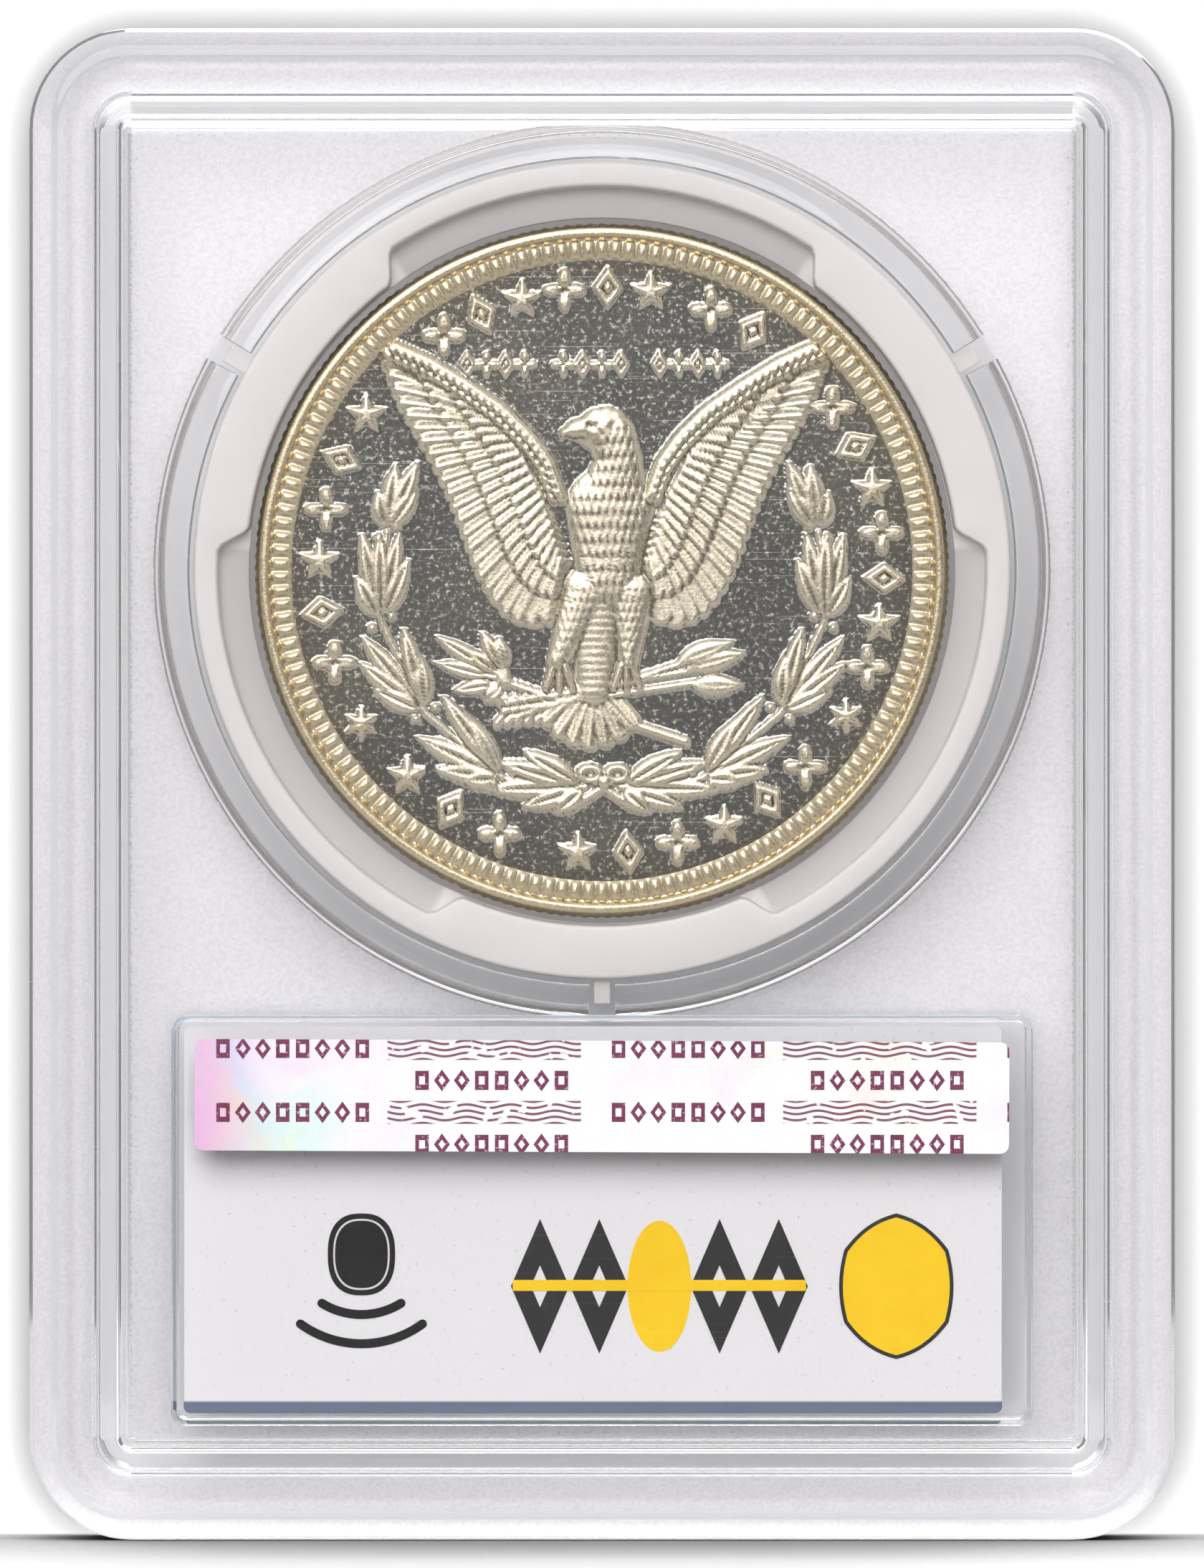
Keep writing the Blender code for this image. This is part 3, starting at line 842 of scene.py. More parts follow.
def scallops(points, width, length, amount):
    """Small overlapping body feathers: a sawtooth down each row, offset every other row."""
    row = np.floor(points[:, 1] / length)
    x = points[:, 0] / width + 0.5 * (row % 2) + 0.35 * np.sin(row * 12.9898)
    across = (x - np.floor(x) - 0.5) * 2
    down = 1 - (points[:, 1] / length - row)
    lip = np.clip(down * 0.75 + 0.6 * across ** 2, 0, 1)
    return amount * (lip - 1.3 * np.clip(lip - 0.82, 0, 1) / 0.18 * 0.8)


def feathered(points, form, width, length, amount):
    """A domed form with small feathers, which fade out at its edge."""
    scales = scallops(points, width, length, amount) * np.clip(form / 0.2, 0, 1)
    return np.where(form > 0, form + scales, 0)


BREAST = (
    ((0.45, 3.3), (0.35, -0.6), 2.45, 1.75, 0.31), ((0.9, 6.0), (0.6, 3.6), 1.35, 2.1, 0.30),
    ((0.55, 7.3), (0.95, 5.9), 1.35, 1.30, 0.30))
THIGHS = (((-0.75, -1.2), (-2.45, -5.0), 1.45, 0.62, 0.28), ((1.6, -1.3), (1.45, -5.0), 1.3, 0.62, 0.28))
TAIL_TIPS = (
    (-3.3, -8.5), (-2.55, -9.25), (-1.65, -9.7), (-0.7, -9.9), (0.3, -9.75), (1.2, -9.35), (2.0, -8.7))
BEAK = (((-1.35, 7.8), (-2.15, 7.55), 0.42, 0.2, 0.28), ((-2.1, 7.6), (-2.2, 7.2), 0.2, 0.08, 0.24))


def eagle_body(points):
    """Neck, breast, thighs, tail and head, from domed ellipses and tapered bars."""
    x, z = points.T
    tail = limb(points, (-0.2, -1.5), (-0.4, -6.6), 1.5, 1.05, 0.25)
    ringed = 0.007 * np.sin(z * 2 * math.pi / 0.42)
    tail = np.where(tail > 0, tail + ringed * np.clip(tail / 0.2, 0, 1), 0)
    fan = tallest(feather(points, (-0.35, -6.0), tip, 1.15, 0.21) for tip in TAIL_TIPS)
    head = tallest((
        blob(points, (0.05, 7.75), (1.5, 1.22), 12, 0.33),
        blob(points, (-1.15, 7.75), (0.95, 0.62), 8, 0.31),
        bars(points, BEAK)))
    plume = 0.02 * np.sin(x * 7.5 + np.sin(z * 9) * 1.2)
    head = np.where(head > 0, head + plume * np.clip((x + 0.9) / 0.4, 0, 1), 0)
    brow = 0.05 * np.exp(-((x + 0.75) / 0.45) ** 2 - ((z - 8.25) / 0.12) ** 2)
    eye = 0.10 * np.exp(-((x + 0.7) ** 2 + (z - 8.0) ** 2) / 0.02)
    mouth = 0.09 * np.exp(-((z - 7.42 - 0.1 * x) / 0.07) ** 2) * (x < -1.0)
    head = np.where(head > 0, head + brow - eye - mouth, 0)
    return tallest((
        feathered(points, bars(points, BREAST), 0.42, 0.78, 0.045),
        feathered(points, bars(points, THIGHS), 0.36, 0.55, 0.035), tail, fan, head))


ARROWS = (((-5.3, -7.3), (6.0, -5.3)), ((-5.4, -7.7), (6.2, -6.0)), ((-4.9, -8.1), (5.0, -4.9)))
ARROW_HEADS = (((4.6, -5.4), (7.9, -4.5)), ((4.9, -6.3), (7.8, -6.3)), ((4.2, -5.0), (7.2, -3.9)))
SPRIG_STEM = (-5.1, -6.1)
SPRIG_TIPS = (
    (-9.1, -3.6), (-9.1, -5.05), (-6.6, -3.35), (-5.7, -3.6), (-8.1, -6.6), (-6.5, -7.2), (-7.5, -4.3))


def talons_and_bundle(points):
    """Claws on a sprig of leaves to the left and a sheaf of arrows to the right."""
    rows = [((-5.4, -6.1), (4.6, -9.4), 0.24, 0.3, 0.17)]
    rows += [(root, tip, 0.2, 0.2, 0.18) for root, tip in ARROWS]
    rows += [((foot + toe * 0.4, -5.2), (foot + toe, -6.5), 0.30, 0.2, 0.27)
             for foot in (-2.35, 1.35) for toe in (-0.75, 0.0, 0.75)]
    parts = [leaf(points, root, tip, 1.25, 0.24, 0.1) for root, tip in ARROW_HEADS]
    for share in np.linspace(0, 1, 5):
        root = np.array([-2.9 - 2.2 * share, -7.5 - 0.15 * share])
        parts.append(feather(points, root, root + (-0.8, -0.95), 0.5, 0.19))
        parts.append(feather(points, root + (0, 0.2), root + (-1.0, 0.75), 0.5, 0.19))
    stem = np.array(SPRIG_STEM)
    for tip in SPRIG_TIPS:
        near = stem + (np.array(tip) - stem) * 0.30
        parts.append(leaf(points, near, tip, 0.95, 0.22))
        rows.append((stem, near, 0.16, 0.16, 0.16))
    return tallest(parts + [bars(points, rows)])


WREATH = (
    ((-0.9, -11.9), ((-6.5, -12.0), (-4.4, -13.0), (-5.7, -10.5), (-4.3, -9.9), (-2.6, -13.3))),
    ((-5.4, -11.4), ((-10.2, -9.1), (-9.1, -10.9), (-7.8, -11.5), (-8.8, -6.8), (-7.4, -8.0))),
    ((-9.7, -7.8), ((-13.2, -3.6), (-13.3, -5.05), (-12.5, -6.5), (-10.9, -3.1), (-10.0, -4.6))),
    ((-12.1, -2.8), ((-13.2, 2.1), (-13.5, -0.35), (-11.1, 2.1), (-10.6, 0.64), (-12.2, 2.1))),
    ((-11.8, 2.1), ((-12.3, 4.36), (-11.3, 5.84), (-10.1, 5.97), (-10.1, 4.6))),
)


def wreath_side(points):
    """One branch: leaf clusters on a curved stem, with berries between them."""
    roots = [np.array(root) for root, _ in WREATH]
    parts = [bars(points, [(near, far, 0.2, 0.18, 0.15) for near, far in zip(roots, roots[1:])])]
    for root, (_, tips) in zip(roots, WREATH):
        for order, tip in enumerate(tips):
            near = root + (np.array(tip) - root) * 0.12
            parts.append(leaf(points, near, tip, 1.25, 0.22 + 0.012 * order))
        for offset in ((0.55, 0.3), (-0.5, -0.35)):
            parts.append(blob(points, root + offset, (0.26, 0.26), 0, 0.2))
    return tallest(parts)


def bow(points):
    """The tied ribbon at the foot of the wreath: two loops, a knot and two tails."""
    parts = [blob(points, (0.1, -11.6), (0.42, 0.42), 0, 0.27)]
    for side in (-1, 1):
        ring = np.hypot((points[:, 0] - 0.1 - side * 0.75) / 0.72, (points[:, 1] + 11.15) / 0.5)
        parts.append(0.22 * dome((ring - 0.72) / 0.42))
        parts.append(bars(points, (((0.1, -11.9), (side * 1.6, -12.9), 0.24, 0.3, 0.18),
                                   ((side * 1.5, -12.8), (side * 2.7, -12.6), 0.26, 0.16, 0.16))))
    return tallest(parts)


def rosette(points, middle, radius, petals, height):
    """Petals round a centre: radius times 0.66 + 0.34 cos(petals angle), with a dimple."""
    away = points - np.asarray(middle)
    reach = np.hypot(away[:, 0], away[:, 1])
    turn = np.arctan2(away[:, 0], away[:, 1])
    edge = radius * (0.68 + 0.32 * np.cos(petals * turn))
    rise = np.clip((edge - reach) / 0.14, 0, 1) ** 0.6
    return height * (rise - 0.55 * np.exp(-(reach / (0.24 * radius)) ** 2))


def lozenge(points, middle, half, turn, height):
    """A diamond with a raised border and a small diamond inside it."""
    away = points - np.asarray(middle)
    along = away[:, 0] * math.cos(turn) - away[:, 1] * math.sin(turn)
    out = away[:, 0] * math.sin(turn) + away[:, 1] * math.cos(turn)
    reach = np.abs(along) / half[0] + np.abs(out) / half[1]
    border = np.clip((1 - reach) / 0.12, 0, 1) * (1 - 0.7 * np.clip((0.52 - reach) / 0.1, 0, 1))
    core = np.clip((0.36 - reach) / 0.1, 0, 1)
    return height * np.maximum(border, core)


def border_ornaments(points, arcs, radius, size, height):
    """Rosettes, lozenges and stars in turn at equal angles along arcs inside the rim."""
    parts = []
    for start, stop, count in arcs:
        for order, angle in enumerate(np.radians(np.linspace(start, stop, count))):
            middle = (radius * math.sin(angle), radius * math.cos(angle))
            if order % 3 == 0:
                parts.append(rosette(points, middle, size, 4, height))
            elif order % 3 == 1:
                parts.append(lozenge(points, middle, (0.72 * size, size), angle, height))
            else:
                parts.append(star(points, middle, size, height, 5))
    return np.maximum(tallest(parts), 0)


# Where ornaments stand inside the rim: first angle, last angle and how many.
BACK_ARCS = (
    (-109, -56.5, 6), (-34, 10, 6), (22.7, 32.3, 2), (54.8, 110, 7), (-158.8, -136.5, 3), (134, 184.8, 6))


def eagle_relief(points):
    """Height over the field of the coin's back face: eagle, wreath, stars and ornaments."""
    mirrored = points * (-1, 1)
    parts = [
        wing(points), wing(mirrored + (0.35, 0)), eagle_body(points), talons_and_bundle(points),
        wreath_side(points), wreath_side(mirrored + (0.1, 0)), bow(points),
        star(points, (-13.2, -8.4), 1.05, 0.2), star(points, (13.4, -8.0), 1.05, 0.2),
        border_ornaments(points, BACK_ARCS, 15.5, 1.2, 0.2),
    ]
    for order, x in enumerate(np.linspace(-7.4, 7.4, 15)):
        if order % 5 < 4:
            parts.append(rosette(points, (x, 11.3), 0.72, 4, 0.15) if order % 2
                         else lozenge(points, (x, 11.3), (0.48, 0.78), 0.0, 0.15))
    return tallest(parts)


def star_relief(points):
    """Height of the other face: a great star in a laurel ring, with small stars round it."""
    ring = np.hypot(points[:, 0], points[:, 1])
    parts = [star(points, (0, 0), 7.2, 0.30, 8), 0.26 * dome((ring - 3.1) / 0.35),
             rosette(points, (0, 0), 2.3, 8, 0.30),
             border_ornaments(points, ((0, 348, 30),), 15.4, 0.9, 0.17)]
    for angle in 2 * math.pi * np.arange(30) / 30:
        facing = np.array([math.sin(angle), math.cos(angle)])
        swept = np.array([math.sin(angle + 0.21), math.cos(angle + 0.21)])
        parts += [leaf(points, 10.6 * facing, reach * swept, 1.0, 0.21) for reach in (9.6, 11.9)]
    return tallest(parts)


def disc_grid(count, radius):
    """A square grid bent to a disc by concentric squares, which keeps its cells nearly even.

    With a, b in -1..1: r = the larger of |a|, |b| and the angle is pi/4 times their ratio.
    """
    a, b = np.meshgrid(np.linspace(-1, 1, count), np.linspace(-1, 1, count), indexing="ij")
    wide = np.abs(a) > np.abs(b)
    reach = np.where(wide, a, b)
    other = np.where(wide, b, a)
    ratio = np.divide(other, reach, out=np.zeros_like(a), where=np.abs(reach) > 1e-9)
    turn = np.where(wide, ratio * math.pi / 4, math.pi / 2 - ratio * math.pi / 4)
    return radius * np.stack([reach * np.cos(turn), reach * np.sin(turn)], axis=-1)


def neighbour_mean(height, spread):
    """Mean of a grid over a square of cells, for telling hollows from ridges."""
    total = height.copy()
    for axis in (0, 1):
        shifted = [np.roll(total, step, axis) for step in range(-spread, spread + 1)]
        total = np.mean(shifted, axis=0)
    return total


def make_face(name, relief, side, gold):
    """One struck face of the coin: the relief on a disc, closed by a wall and a flat back."""
    count = FACE_GRID
    flat = disc_grid(count, DISC_R)
    height = relief(flat.reshape(-1, 2)).reshape(count, count)
    ripple = 0.004 * np.sin(flat[..., 0] * 0.9) * np.sin(flat[..., 1] * 0.7)
    level = side * (FIELD_LEVEL + np.minimum(height, 0.33) + ripple)
    top = np.stack([-side * flat[..., 0], level, flat[..., 1]], axis=-1).reshape(-1, 3)
    index = np.arange(count * count).reshape(count, count)
    rim = np.concatenate([index[0, :-1], index[:-1, -1], index[-1, :0:-1], index[:0:-1, 0]])
    back = top[rim] * (1, 0, 1) + (0, side * 0.3, 0)
    base = np.arange(len(rim)) + count * count
    wall = np.stack([rim, np.roll(rim, -1), np.roll(base, -1), base], axis=-1)
    points = np.concatenate([top, back]) * MM + (0, 0, COIN_Z)
    item = skin(name, points, [grid_quads(count, count), wall[:, ::-1], base[None, ::-1]], 80.0)
    device = np.clip(height / 0.05, 0, 1)
    # painted shade mask: how far the relief at a point lies below the mean round it, on raised parts
    hollow = np.clip((neighbour_mean(height, 2) - height) / 0.022, 0, 1) * (height > 0.03)
    store(item, device=np.append(device, np.ones(len(rim))), hollow=np.append(hollow, np.zeros(len(rim))))
    return finished(item, struck_silver(name, gold), "coin", "coin")


def make_rim():
    """The coin's beaded rim and reeded edge: one closed section carried round the coin.

    Beads rise by a rounded square wave in angle; reeds cut the edge by a cosine in angle.
    """
    half_t, edge = COIN_HIGH[1] / MM, COIN_R / MM
    angles = np.linspace(0, 2 * math.pi, BEADS * 9 + 1)[:-1]
    section = [(16.9, FIELD_LEVEL - 0.03), (17.0, FIELD_LEVEL - 0.03)]
    section += [(17.06 + 0.11 * step, FIELD_LEVEL + 0.02) for step in range(11)]
    section += [(18.28, half_t - 0.16), (18.36, half_t - 0.02), (18.46, half_t), (18.62, half_t - 0.005)]
    section += [(18.74, half_t - 0.03), (18.84, half_t - 0.10), (edge - 0.11, half_t - 0.22)]
    section += [(edge, half_t - 0.36), (edge, 0.5), (edge, 0.0)]
    section = np.array(section)
    section = np.concatenate([section, (section * (1, -1))[-2::-1]])
    radius, level = section[None, :, 0], section[None, :, 1]
    bead = np.cos(BEADS * angles)[:, None]
    bead = np.clip(0.62 + 0.9 * bead, 0, 1)
    across = dome((radius - BEAD_R) / 0.5)
    rise = across ** 0.7 * (0.03 + 0.17 * bead ** 0.6) * (radius < 18.2)
    reed = 0.05 * (1 - np.clip(0.5 + 0.9 * np.cos(REEDS * angles), 0, 1))[:, None]
    cut = reed * np.clip((radius - (edge - 0.13)) / 0.1, 0, 1)
    wander = 0.012 * np.sin(3 * angles + 0.7)[:, None]
    height = level + np.sign(level) * (rise + wander * (rise > 0))
    rings = around((radius - cut) * MM, angles[:, None], height * MM)
    item = skin("coin_rim", rings, [grid_quads(*rings.shape[:2], wrap_rows=True, wrap_cols=True)], 80.0)
    # painted shade mask: the gaps between beads and the outer edge as it falls away, which the material
    # darkens
    gap = (1 - bead) * across * (radius < 18.2)
    edge_shade = np.clip((radius - 18.7) / 0.15, 0, 1) * np.ones_like(bead)
    store(item, device=np.ones(rings.shape[:2]), hollow=np.maximum(gap * 0.35, edge_shade))
    return finished(item, struck_silver("coin_rim", 0.45), "coin", "coin")


# ---------------------------------------------------------------- label and seal

def make_label_sheet(name, low, high, material, slot, node_name):
    """A label sheet: a thin rounded slab with softened edges."""
    middle, half = (low + high) / 2, (high - low) / 2
    soft = 0.04 * MM
    profile = soft_profile([
        (0.3 * MM, half[1], 0), (0.0, half[1], soft), (0.0, -half[1], soft), (0.3 * MM, -half[1], 0)])
    rings = frame_rings(half[0], half[2], 0.35 * MM, middle[2], profile, 1)
    rings = rings + (middle[0], middle[1], 0)
    return finished(loft(name, rings), material, slot, node_name)


INK_T = 0.02 * MM


def print_mark(name, outlines, face, side, material, slot):
    """Ink marks as thin closed plates on a sheet: each outline in (x, z) millimetres is raised."""
    points, faces, first = [], [], 0
    walls = []
    for outline in outlines:
        outline = np.asarray(outline, float) * MM
        if outline_area(outline) < 0:
            outline = outline[::-1]
        count = len(outline)
        for level in (face - side * 0.2 * INK_T, face + side * INK_T):
            points.append(np.stack([outline[:, 0], np.full(count, level), outline[:, 1]], axis=-1))
        near, far = np.arange(count) + first, np.arange(count) + first + count
        walls.append(np.stack([near, np.roll(near, -1), np.roll(far, -1), far], axis=-1))
        faces += [near[None, ::-1], far[None, :]]
        first += 2 * count
    item = skin(name, np.concatenate(points), [np.concatenate(walls)] + faces, 30.0)
    return finished(item, material, slot)


def outline_area(outline):
    """Signed area inside a closed outline."""
    after = np.roll(outline, -1, axis=0)
    return 0.5 * np.sum(outline[:, 0] * after[:, 1] - after[:, 0] * outline[:, 1])


def box_outline(low_x, high_x, low_z, high_z, radius=0.15):
    """A rectangle with small round corners."""
    outline = rounded_rectangle((high_x - low_x) / 2, (high_z - low_z) / 2, radius, steps=5)
    return outline + ((low_x + high_x) / 2, (low_z + high_z) / 2)


def egg_outline(middle, half_w, half_h, power=2.5, steps=60):
    """A superellipse: |x/a|^n + |z/b|^n = 1."""
    turn = np.linspace(0, 2 * math.pi, steps + 1)[:-1]
    x = np.sign(np.cos(turn)) * np.abs(np.cos(turn)) ** (2 / power) * half_w
    z = np.sign(np.sin(turn)) * np.abs(np.sin(turn)) ** (2 / power) * half_h
    return np.stack([x, z], axis=-1) + middle


def lozenge_outline(middle, half_w, half_h, steps=7):
    """A diamond with slightly hollow sides, which come to points."""
    corners = np.array([(0, 1), (1, 0), (0, -1), (-1, 0)], float)
    share = np.linspace(0, 1, steps + 1)[:-1, None]
    sides = [near + (far - near) * share for near, far in zip(corners, np.roll(corners, -1, axis=0))]
    return np.concatenate(sides) * (half_w, half_h) + middle


def badge_outline(middle, half_w, half_h, steps=8):
    """A six-sided badge with bowed sides: corners of a hexagon joined by shallow arcs."""
    turn = math.pi / 3 * np.arange(6)
    corners = np.stack([np.sin(turn), np.cos(turn)], axis=-1)
    share = np.linspace(0, 1, steps + 1)[:-1, None]
    sides = [(near + (far - near) * share) * (1 + 0.10 * np.sin(math.pi * share))
             for near, far in zip(corners, np.roll(corners, -1, axis=0))]
    return np.concatenate(sides) * (half_w, half_h) + middle


def arc_band(middle, radius, width, start, stop, steps=28):
    """A bent bar with round ends: part of a ring between two angles, clockwise from the top."""
    turn = np.radians(np.linspace(start, stop, steps))
    line = np.stack([np.sin(turn), np.cos(turn)], axis=-1)
    swing = np.linspace(math.pi / 2, -math.pi / 2, 8)[1:-1, None]
    caps = []
    for out, sign in ((line[-1], 1), (line[0], -1)):
        across = out[::-1] * (1, -1)
        caps.append(out * radius + sign * width / 2 * (across * np.cos(swing) + out * np.sin(swing)))
    outer, inner = line * (radius + width / 2), line[::-1] * (radius - width / 2)
    return np.concatenate([outer, caps[0], inner, caps[1]]) + middle


def print_marks(rows, face, side, slot):
    """Print rows of a piece's name, its outlines, its layer of ink and its ink."""
    for name, outlines, layer, ink in rows:
        print_mark(name, outlines, face + side * layer * INK_T, side, ink, slot)


def make_back_prints(black, grey, yellow, pale):
    """The back label's marks: a dark oval over two arcs, a grey band of blocks and a yellow badge."""
    oval, badge = (-13.2, 15.6), (16.15, 13.85)
    links = []
    for middle_x in (-3.4, -0.15, 6.45, 9.7):
        middle = (middle_x, 13.85)
        links += split_ring(lozenge_outline(middle, 1.6, 3.7), lozenge_outline(middle, 0.5, 1.15))
    arcs = [arc_band((-13.2, 16.4), 4.1, 0.5, 148, 212), arc_band((-13.2, 16.4), 5.7, 0.5, 144, 216)]
    print_marks((
        ("print_dark_oval", [egg_outline(oval, 1.85, 2.25)], 0, black),
        ("print_oval_line",
         split_ring(egg_outline(oval, 1.55, 1.95), egg_outline(oval, 1.45, 1.85)), 1, pale),
        ("print_arcs", arcs, 0, black),
        ("print_grey_links", links, 0, grey),
        ("print_yellow_link", [egg_outline((3.15, 13.85), 1.75, 3.6, 2.0)], 0, yellow),
        ("print_yellow_stripe", [box_outline(-4.9, 11.2, 13.6, 14.2, 0.1)], 1, yellow),
        ("print_badge_edge", [badge_outline(badge, 3.3, 4.0)], 0, grey),
        ("print_badge", [badge_outline(badge, 3.08, 3.78)], 1, yellow),
    ), float(LABEL_LOW[1]), -1, "label_paper")


def split_ring(outer, inner):
    """A ring as two closed halves, so that each is a plain outline without a hole."""
    half = len(outer) // 2
    first = np.concatenate([outer[:half + 1], inner[:half + 1][::-1]])
    second = np.concatenate([outer[half:], outer[:1], inner[:1], inner[half:][::-1]])
    return [first, second]


def make_front_prints(dark, yellow, blue):
    """The front label's marks: a border, bars of different widths, blocks and a badge, no words."""
    low, high = PLATE_LOW / MM + 0.9, PLATE_HIGH / MM - 0.9
    half_w, half_h = (high[0] - low[0]) / 2, (high[2] - low[2]) / 2
    middle = np.array([low[0] + half_w, low[2] + half_h])
    border = split_ring(rounded_rectangle(half_w, half_h, 0.8, 6) + middle,
                        rounded_rectangle(half_w - 0.3, half_h - 0.3, 0.5, 6) + middle)
    start = low[0] + 1.8
    bars_x, x = [], start
    for order in range(34):
        width = (0.18, 0.34, 0.18, 0.5)[(order * 7) % 4]
        bars_x.append(box_outline(x, x + width, low[2] + 1.6, low[2] + 5.6, 0.02))
        x += width + (0.22, 0.36, 0.3)[(order * 5) % 3]
    blocks = []
    for level, sizes in ((16.4, (5.5, 3.2, 7.4)), (13.6, (3.0, 6.2)), (10.9, (7.0, 4.0))):
        x = start
        for width in sizes:
            blocks.append(box_outline(x, x + width, low[2] + level - 0.6, low[2] + level + 0.6, 0.3))
            x += width + 1.1
    badge = (high[0] - 6.5, middle[1] + 2.0)
    print_marks((
        ("print_front_border", border, 0, blue),
        ("print_front_bars", bars_x, 0, dark),
        ("print_front_blocks", blocks, 0, dark),
        ("print_front_badge_edge", [badge_outline(badge, 4.2, 5.0)], 0, blue),
        ("print_front_badge", [badge_outline(badge, 3.9, 4.7)], 1, yellow),
    ), float(PLATE_HIGH[1]), 1, "front_label_paper")


def seal_lozenges(tree, run, up):
    """Small outlined diamonds and squares, eight in a run.

    A diamond is |x| / 0.40 + |z| / 0.34 and a square is the larger of |x| / 0.34 and |z| / 0.30,
    and an outline is where either is near 0.72.
    """
    cell = calc(tree, "DIVIDE", run, 1.09)
    which = calc(tree, "FLOOR", cell)
    along = calc(tree, "ABSOLUTE", minus(tree, minus(tree, cell, which), 0.5))
    diamond = plus(tree, calc(tree, "DIVIDE", along, 0.40), calc(tree, "DIVIDE", up, 0.34))
    square = calc(tree, "MAXIMUM", calc(tree, "DIVIDE", along, 0.34), calc(tree, "DIVIDE", up, 0.30))
    kind = calc(tree, "GREATER_THAN", calc(tree, "FLOORED_MODULO", times(tree, which, 3.0), 4.0), 1.5)
    ring = calc(tree, "ABSOLUTE", minus(tree, blend_value(tree, kind, square, diamond), 0.72))
    block = times(tree, fade(tree, run, 0.10, 0.2), fade(tree, run, 8.7, 8.8, 1.0, 0.0))
    return times(tree, fade(tree, ring, 0.25, 0.32, 1.0, 0.0), block)


def seal_waves(tree, local, run, in_row, up):
    """Broken wavy lines: rows of folds, each moved up and down by a sine along the run."""
    wavy = plus(tree, times(tree, calc(tree, "SINE", times(tree, run, 2.6)), 0.055), in_row)
    fold = calc(tree, "ABSOLUTE", minus(tree, calc(tree, "FRACT", times(tree, wavy, 5.2)), 0.5))
    in_waves = times(tree, fade(tree, run, 9.5, 9.6), fade(tree, run, 20.1, 20.2, 1.0, 0.0))
    broken = fade(tree, noise(tree, local, 1500.0, 1.0), 0.34, 0.40)
    return times(tree, fade(tree, fold, 0.26, 0.33), calc(tree, "LESS_THAN", up, 0.36), in_waves, broken)


RAINBOW = (
    (0.0, (0.93, 0.62, 0.90)), (0.18, (0.96, 0.80, 0.96)), (0.38, (0.98, 0.76, 0.52)),
    (0.52, (0.97, 0.92, 0.52)), (0.68, (0.72, 0.96, 0.94)), (0.84, (0.97, 0.93, 0.99)),
    (1.0, (0.93, 0.62, 0.90)))


def security_film():
    """Iridescent film: pearly white with rainbow blushes, rows of small lozenges and wavy lines.

    A row is a period of blocks: eight lozenges in a run, then waves on every other row; the rows
    between are moved along by half a period.
    """
    material, tree, shader, place, _ = new_material("security_film", 0, 0)
    local = turned(tree, place, Location=(float(-SEAL_MID[0]), 0, float(-SEAL_MID[2])))
    parts = node(tree, "ShaderNodeSeparateXYZ", {0: local}).outputs
    x = parts["X"]
    rows = calc(tree, "DIVIDE", parts["Z"], 1.75 * MM)
    row = calc(tree, "FLOOR", rows)
    in_row = minus(tree, rows, plus(tree, row, 0.5))
    up = calc(tree, "ABSOLUTE", in_row)
    odd = calc(tree, "ABSOLUTE", calc(tree, "MODULO", row, 2.0))
    shift = times(tree, minus(tree, 1.0, odd), 10.9 * MM)
    run = calc(tree, "FLOORED_MODULO", minus(tree, plus(tree, x, 21.3 * MM), shift), 21.66 * MM)
    run = calc(tree, "DIVIDE", run, MM)
    marks = seal_lozenges(tree, run, up)
    waves = times(tree, seal_waves(tree, local, run, in_row, up), odd)

    swirl = plus(tree, times(tree, x, 55.0), times(tree, noise(tree, local, 130.0, 3.0), 1.3))
    rainbow = ramp(tree, calc(tree, "FRACT", swirl), RAINBOW)
    left = fade(tree, x, -21.0 * MM, -7.0 * MM, 1.0, 0.0)
    patch = fade(tree, noise(tree, local, 190.0, 2.0), 0.55, 0.75, 0.0, 0.35)
    tone = blend(tree, calc(tree, "MINIMUM", plus(tree, left, patch), 1.0), (0.99, 0.985, 0.985), rainbow)
    tone = blend(tree, fade(tree, x, -22.4 * MM, -17.0 * MM, 0.7, 0.0), tone, (0.82, 0.40, 0.95))
    specks = fade(tree, noise(tree, local, 5200.0, 1.0), 0.62, 0.68, 0.0, 0.5)
    ink = blend(tree, noise(tree, local, 700.0, 2.0), (0.16, 0.028, 0.085), (0.26, 0.05, 0.12))
    ink = blend(tree, specks, ink, (0.80, 0.70, 0.78))
    red = blend(tree, noise(tree, local, 260.0, 1.0), (0.34, 0.05, 0.12), (0.18, 0.16, 0.20))
    tone = blend(tree, marks, blend(tree, waves, tone, red), ink)
    rough = fade(tree, noise(tree, local, 900.0, 2.0), 0.3, 0.7, 0.22, 0.34)
    dress(tree, shader, tone, rough, noise(tree, local, 1800.0, 2.0), 0.08, 0.02,
          Coat_Weight=0.3, Coat_Roughness=0.08)
    return material


def carrier_film():
    """The tag's carrier film: amber plastic with a faint haze."""
    material, tree, shader, _, grain = new_material("carrier_film", 3000.0, 90.0)
    tone = blend(tree, grain["Cloud"], (0.62, 0.50, 0.30), (0.72, 0.60, 0.38))
    dress(tree, shader, tone, fade(tree, grain["Cloud"], 0.3, 0.7, 0.28, 0.42))
    return material


def etched_foil():
    """The aerial's etched foil: bright metal with rolling lines and dulled patches."""
    material, tree, shader, place, _ = new_material("etched_foil", 0, 0)
    rolled = noise(tree, turned(tree, place, Scale=(1, 1, 18)), 700.0, 2.0)
    tone = blend(tree, rolled, (0.72, 0.70, 0.68), (0.88, 0.86, 0.83))
    dress(tree, shader, tone, fade(tree, rolled, 0.3, 0.7, 0.24, 0.40), Metallic=1.0)
    return material


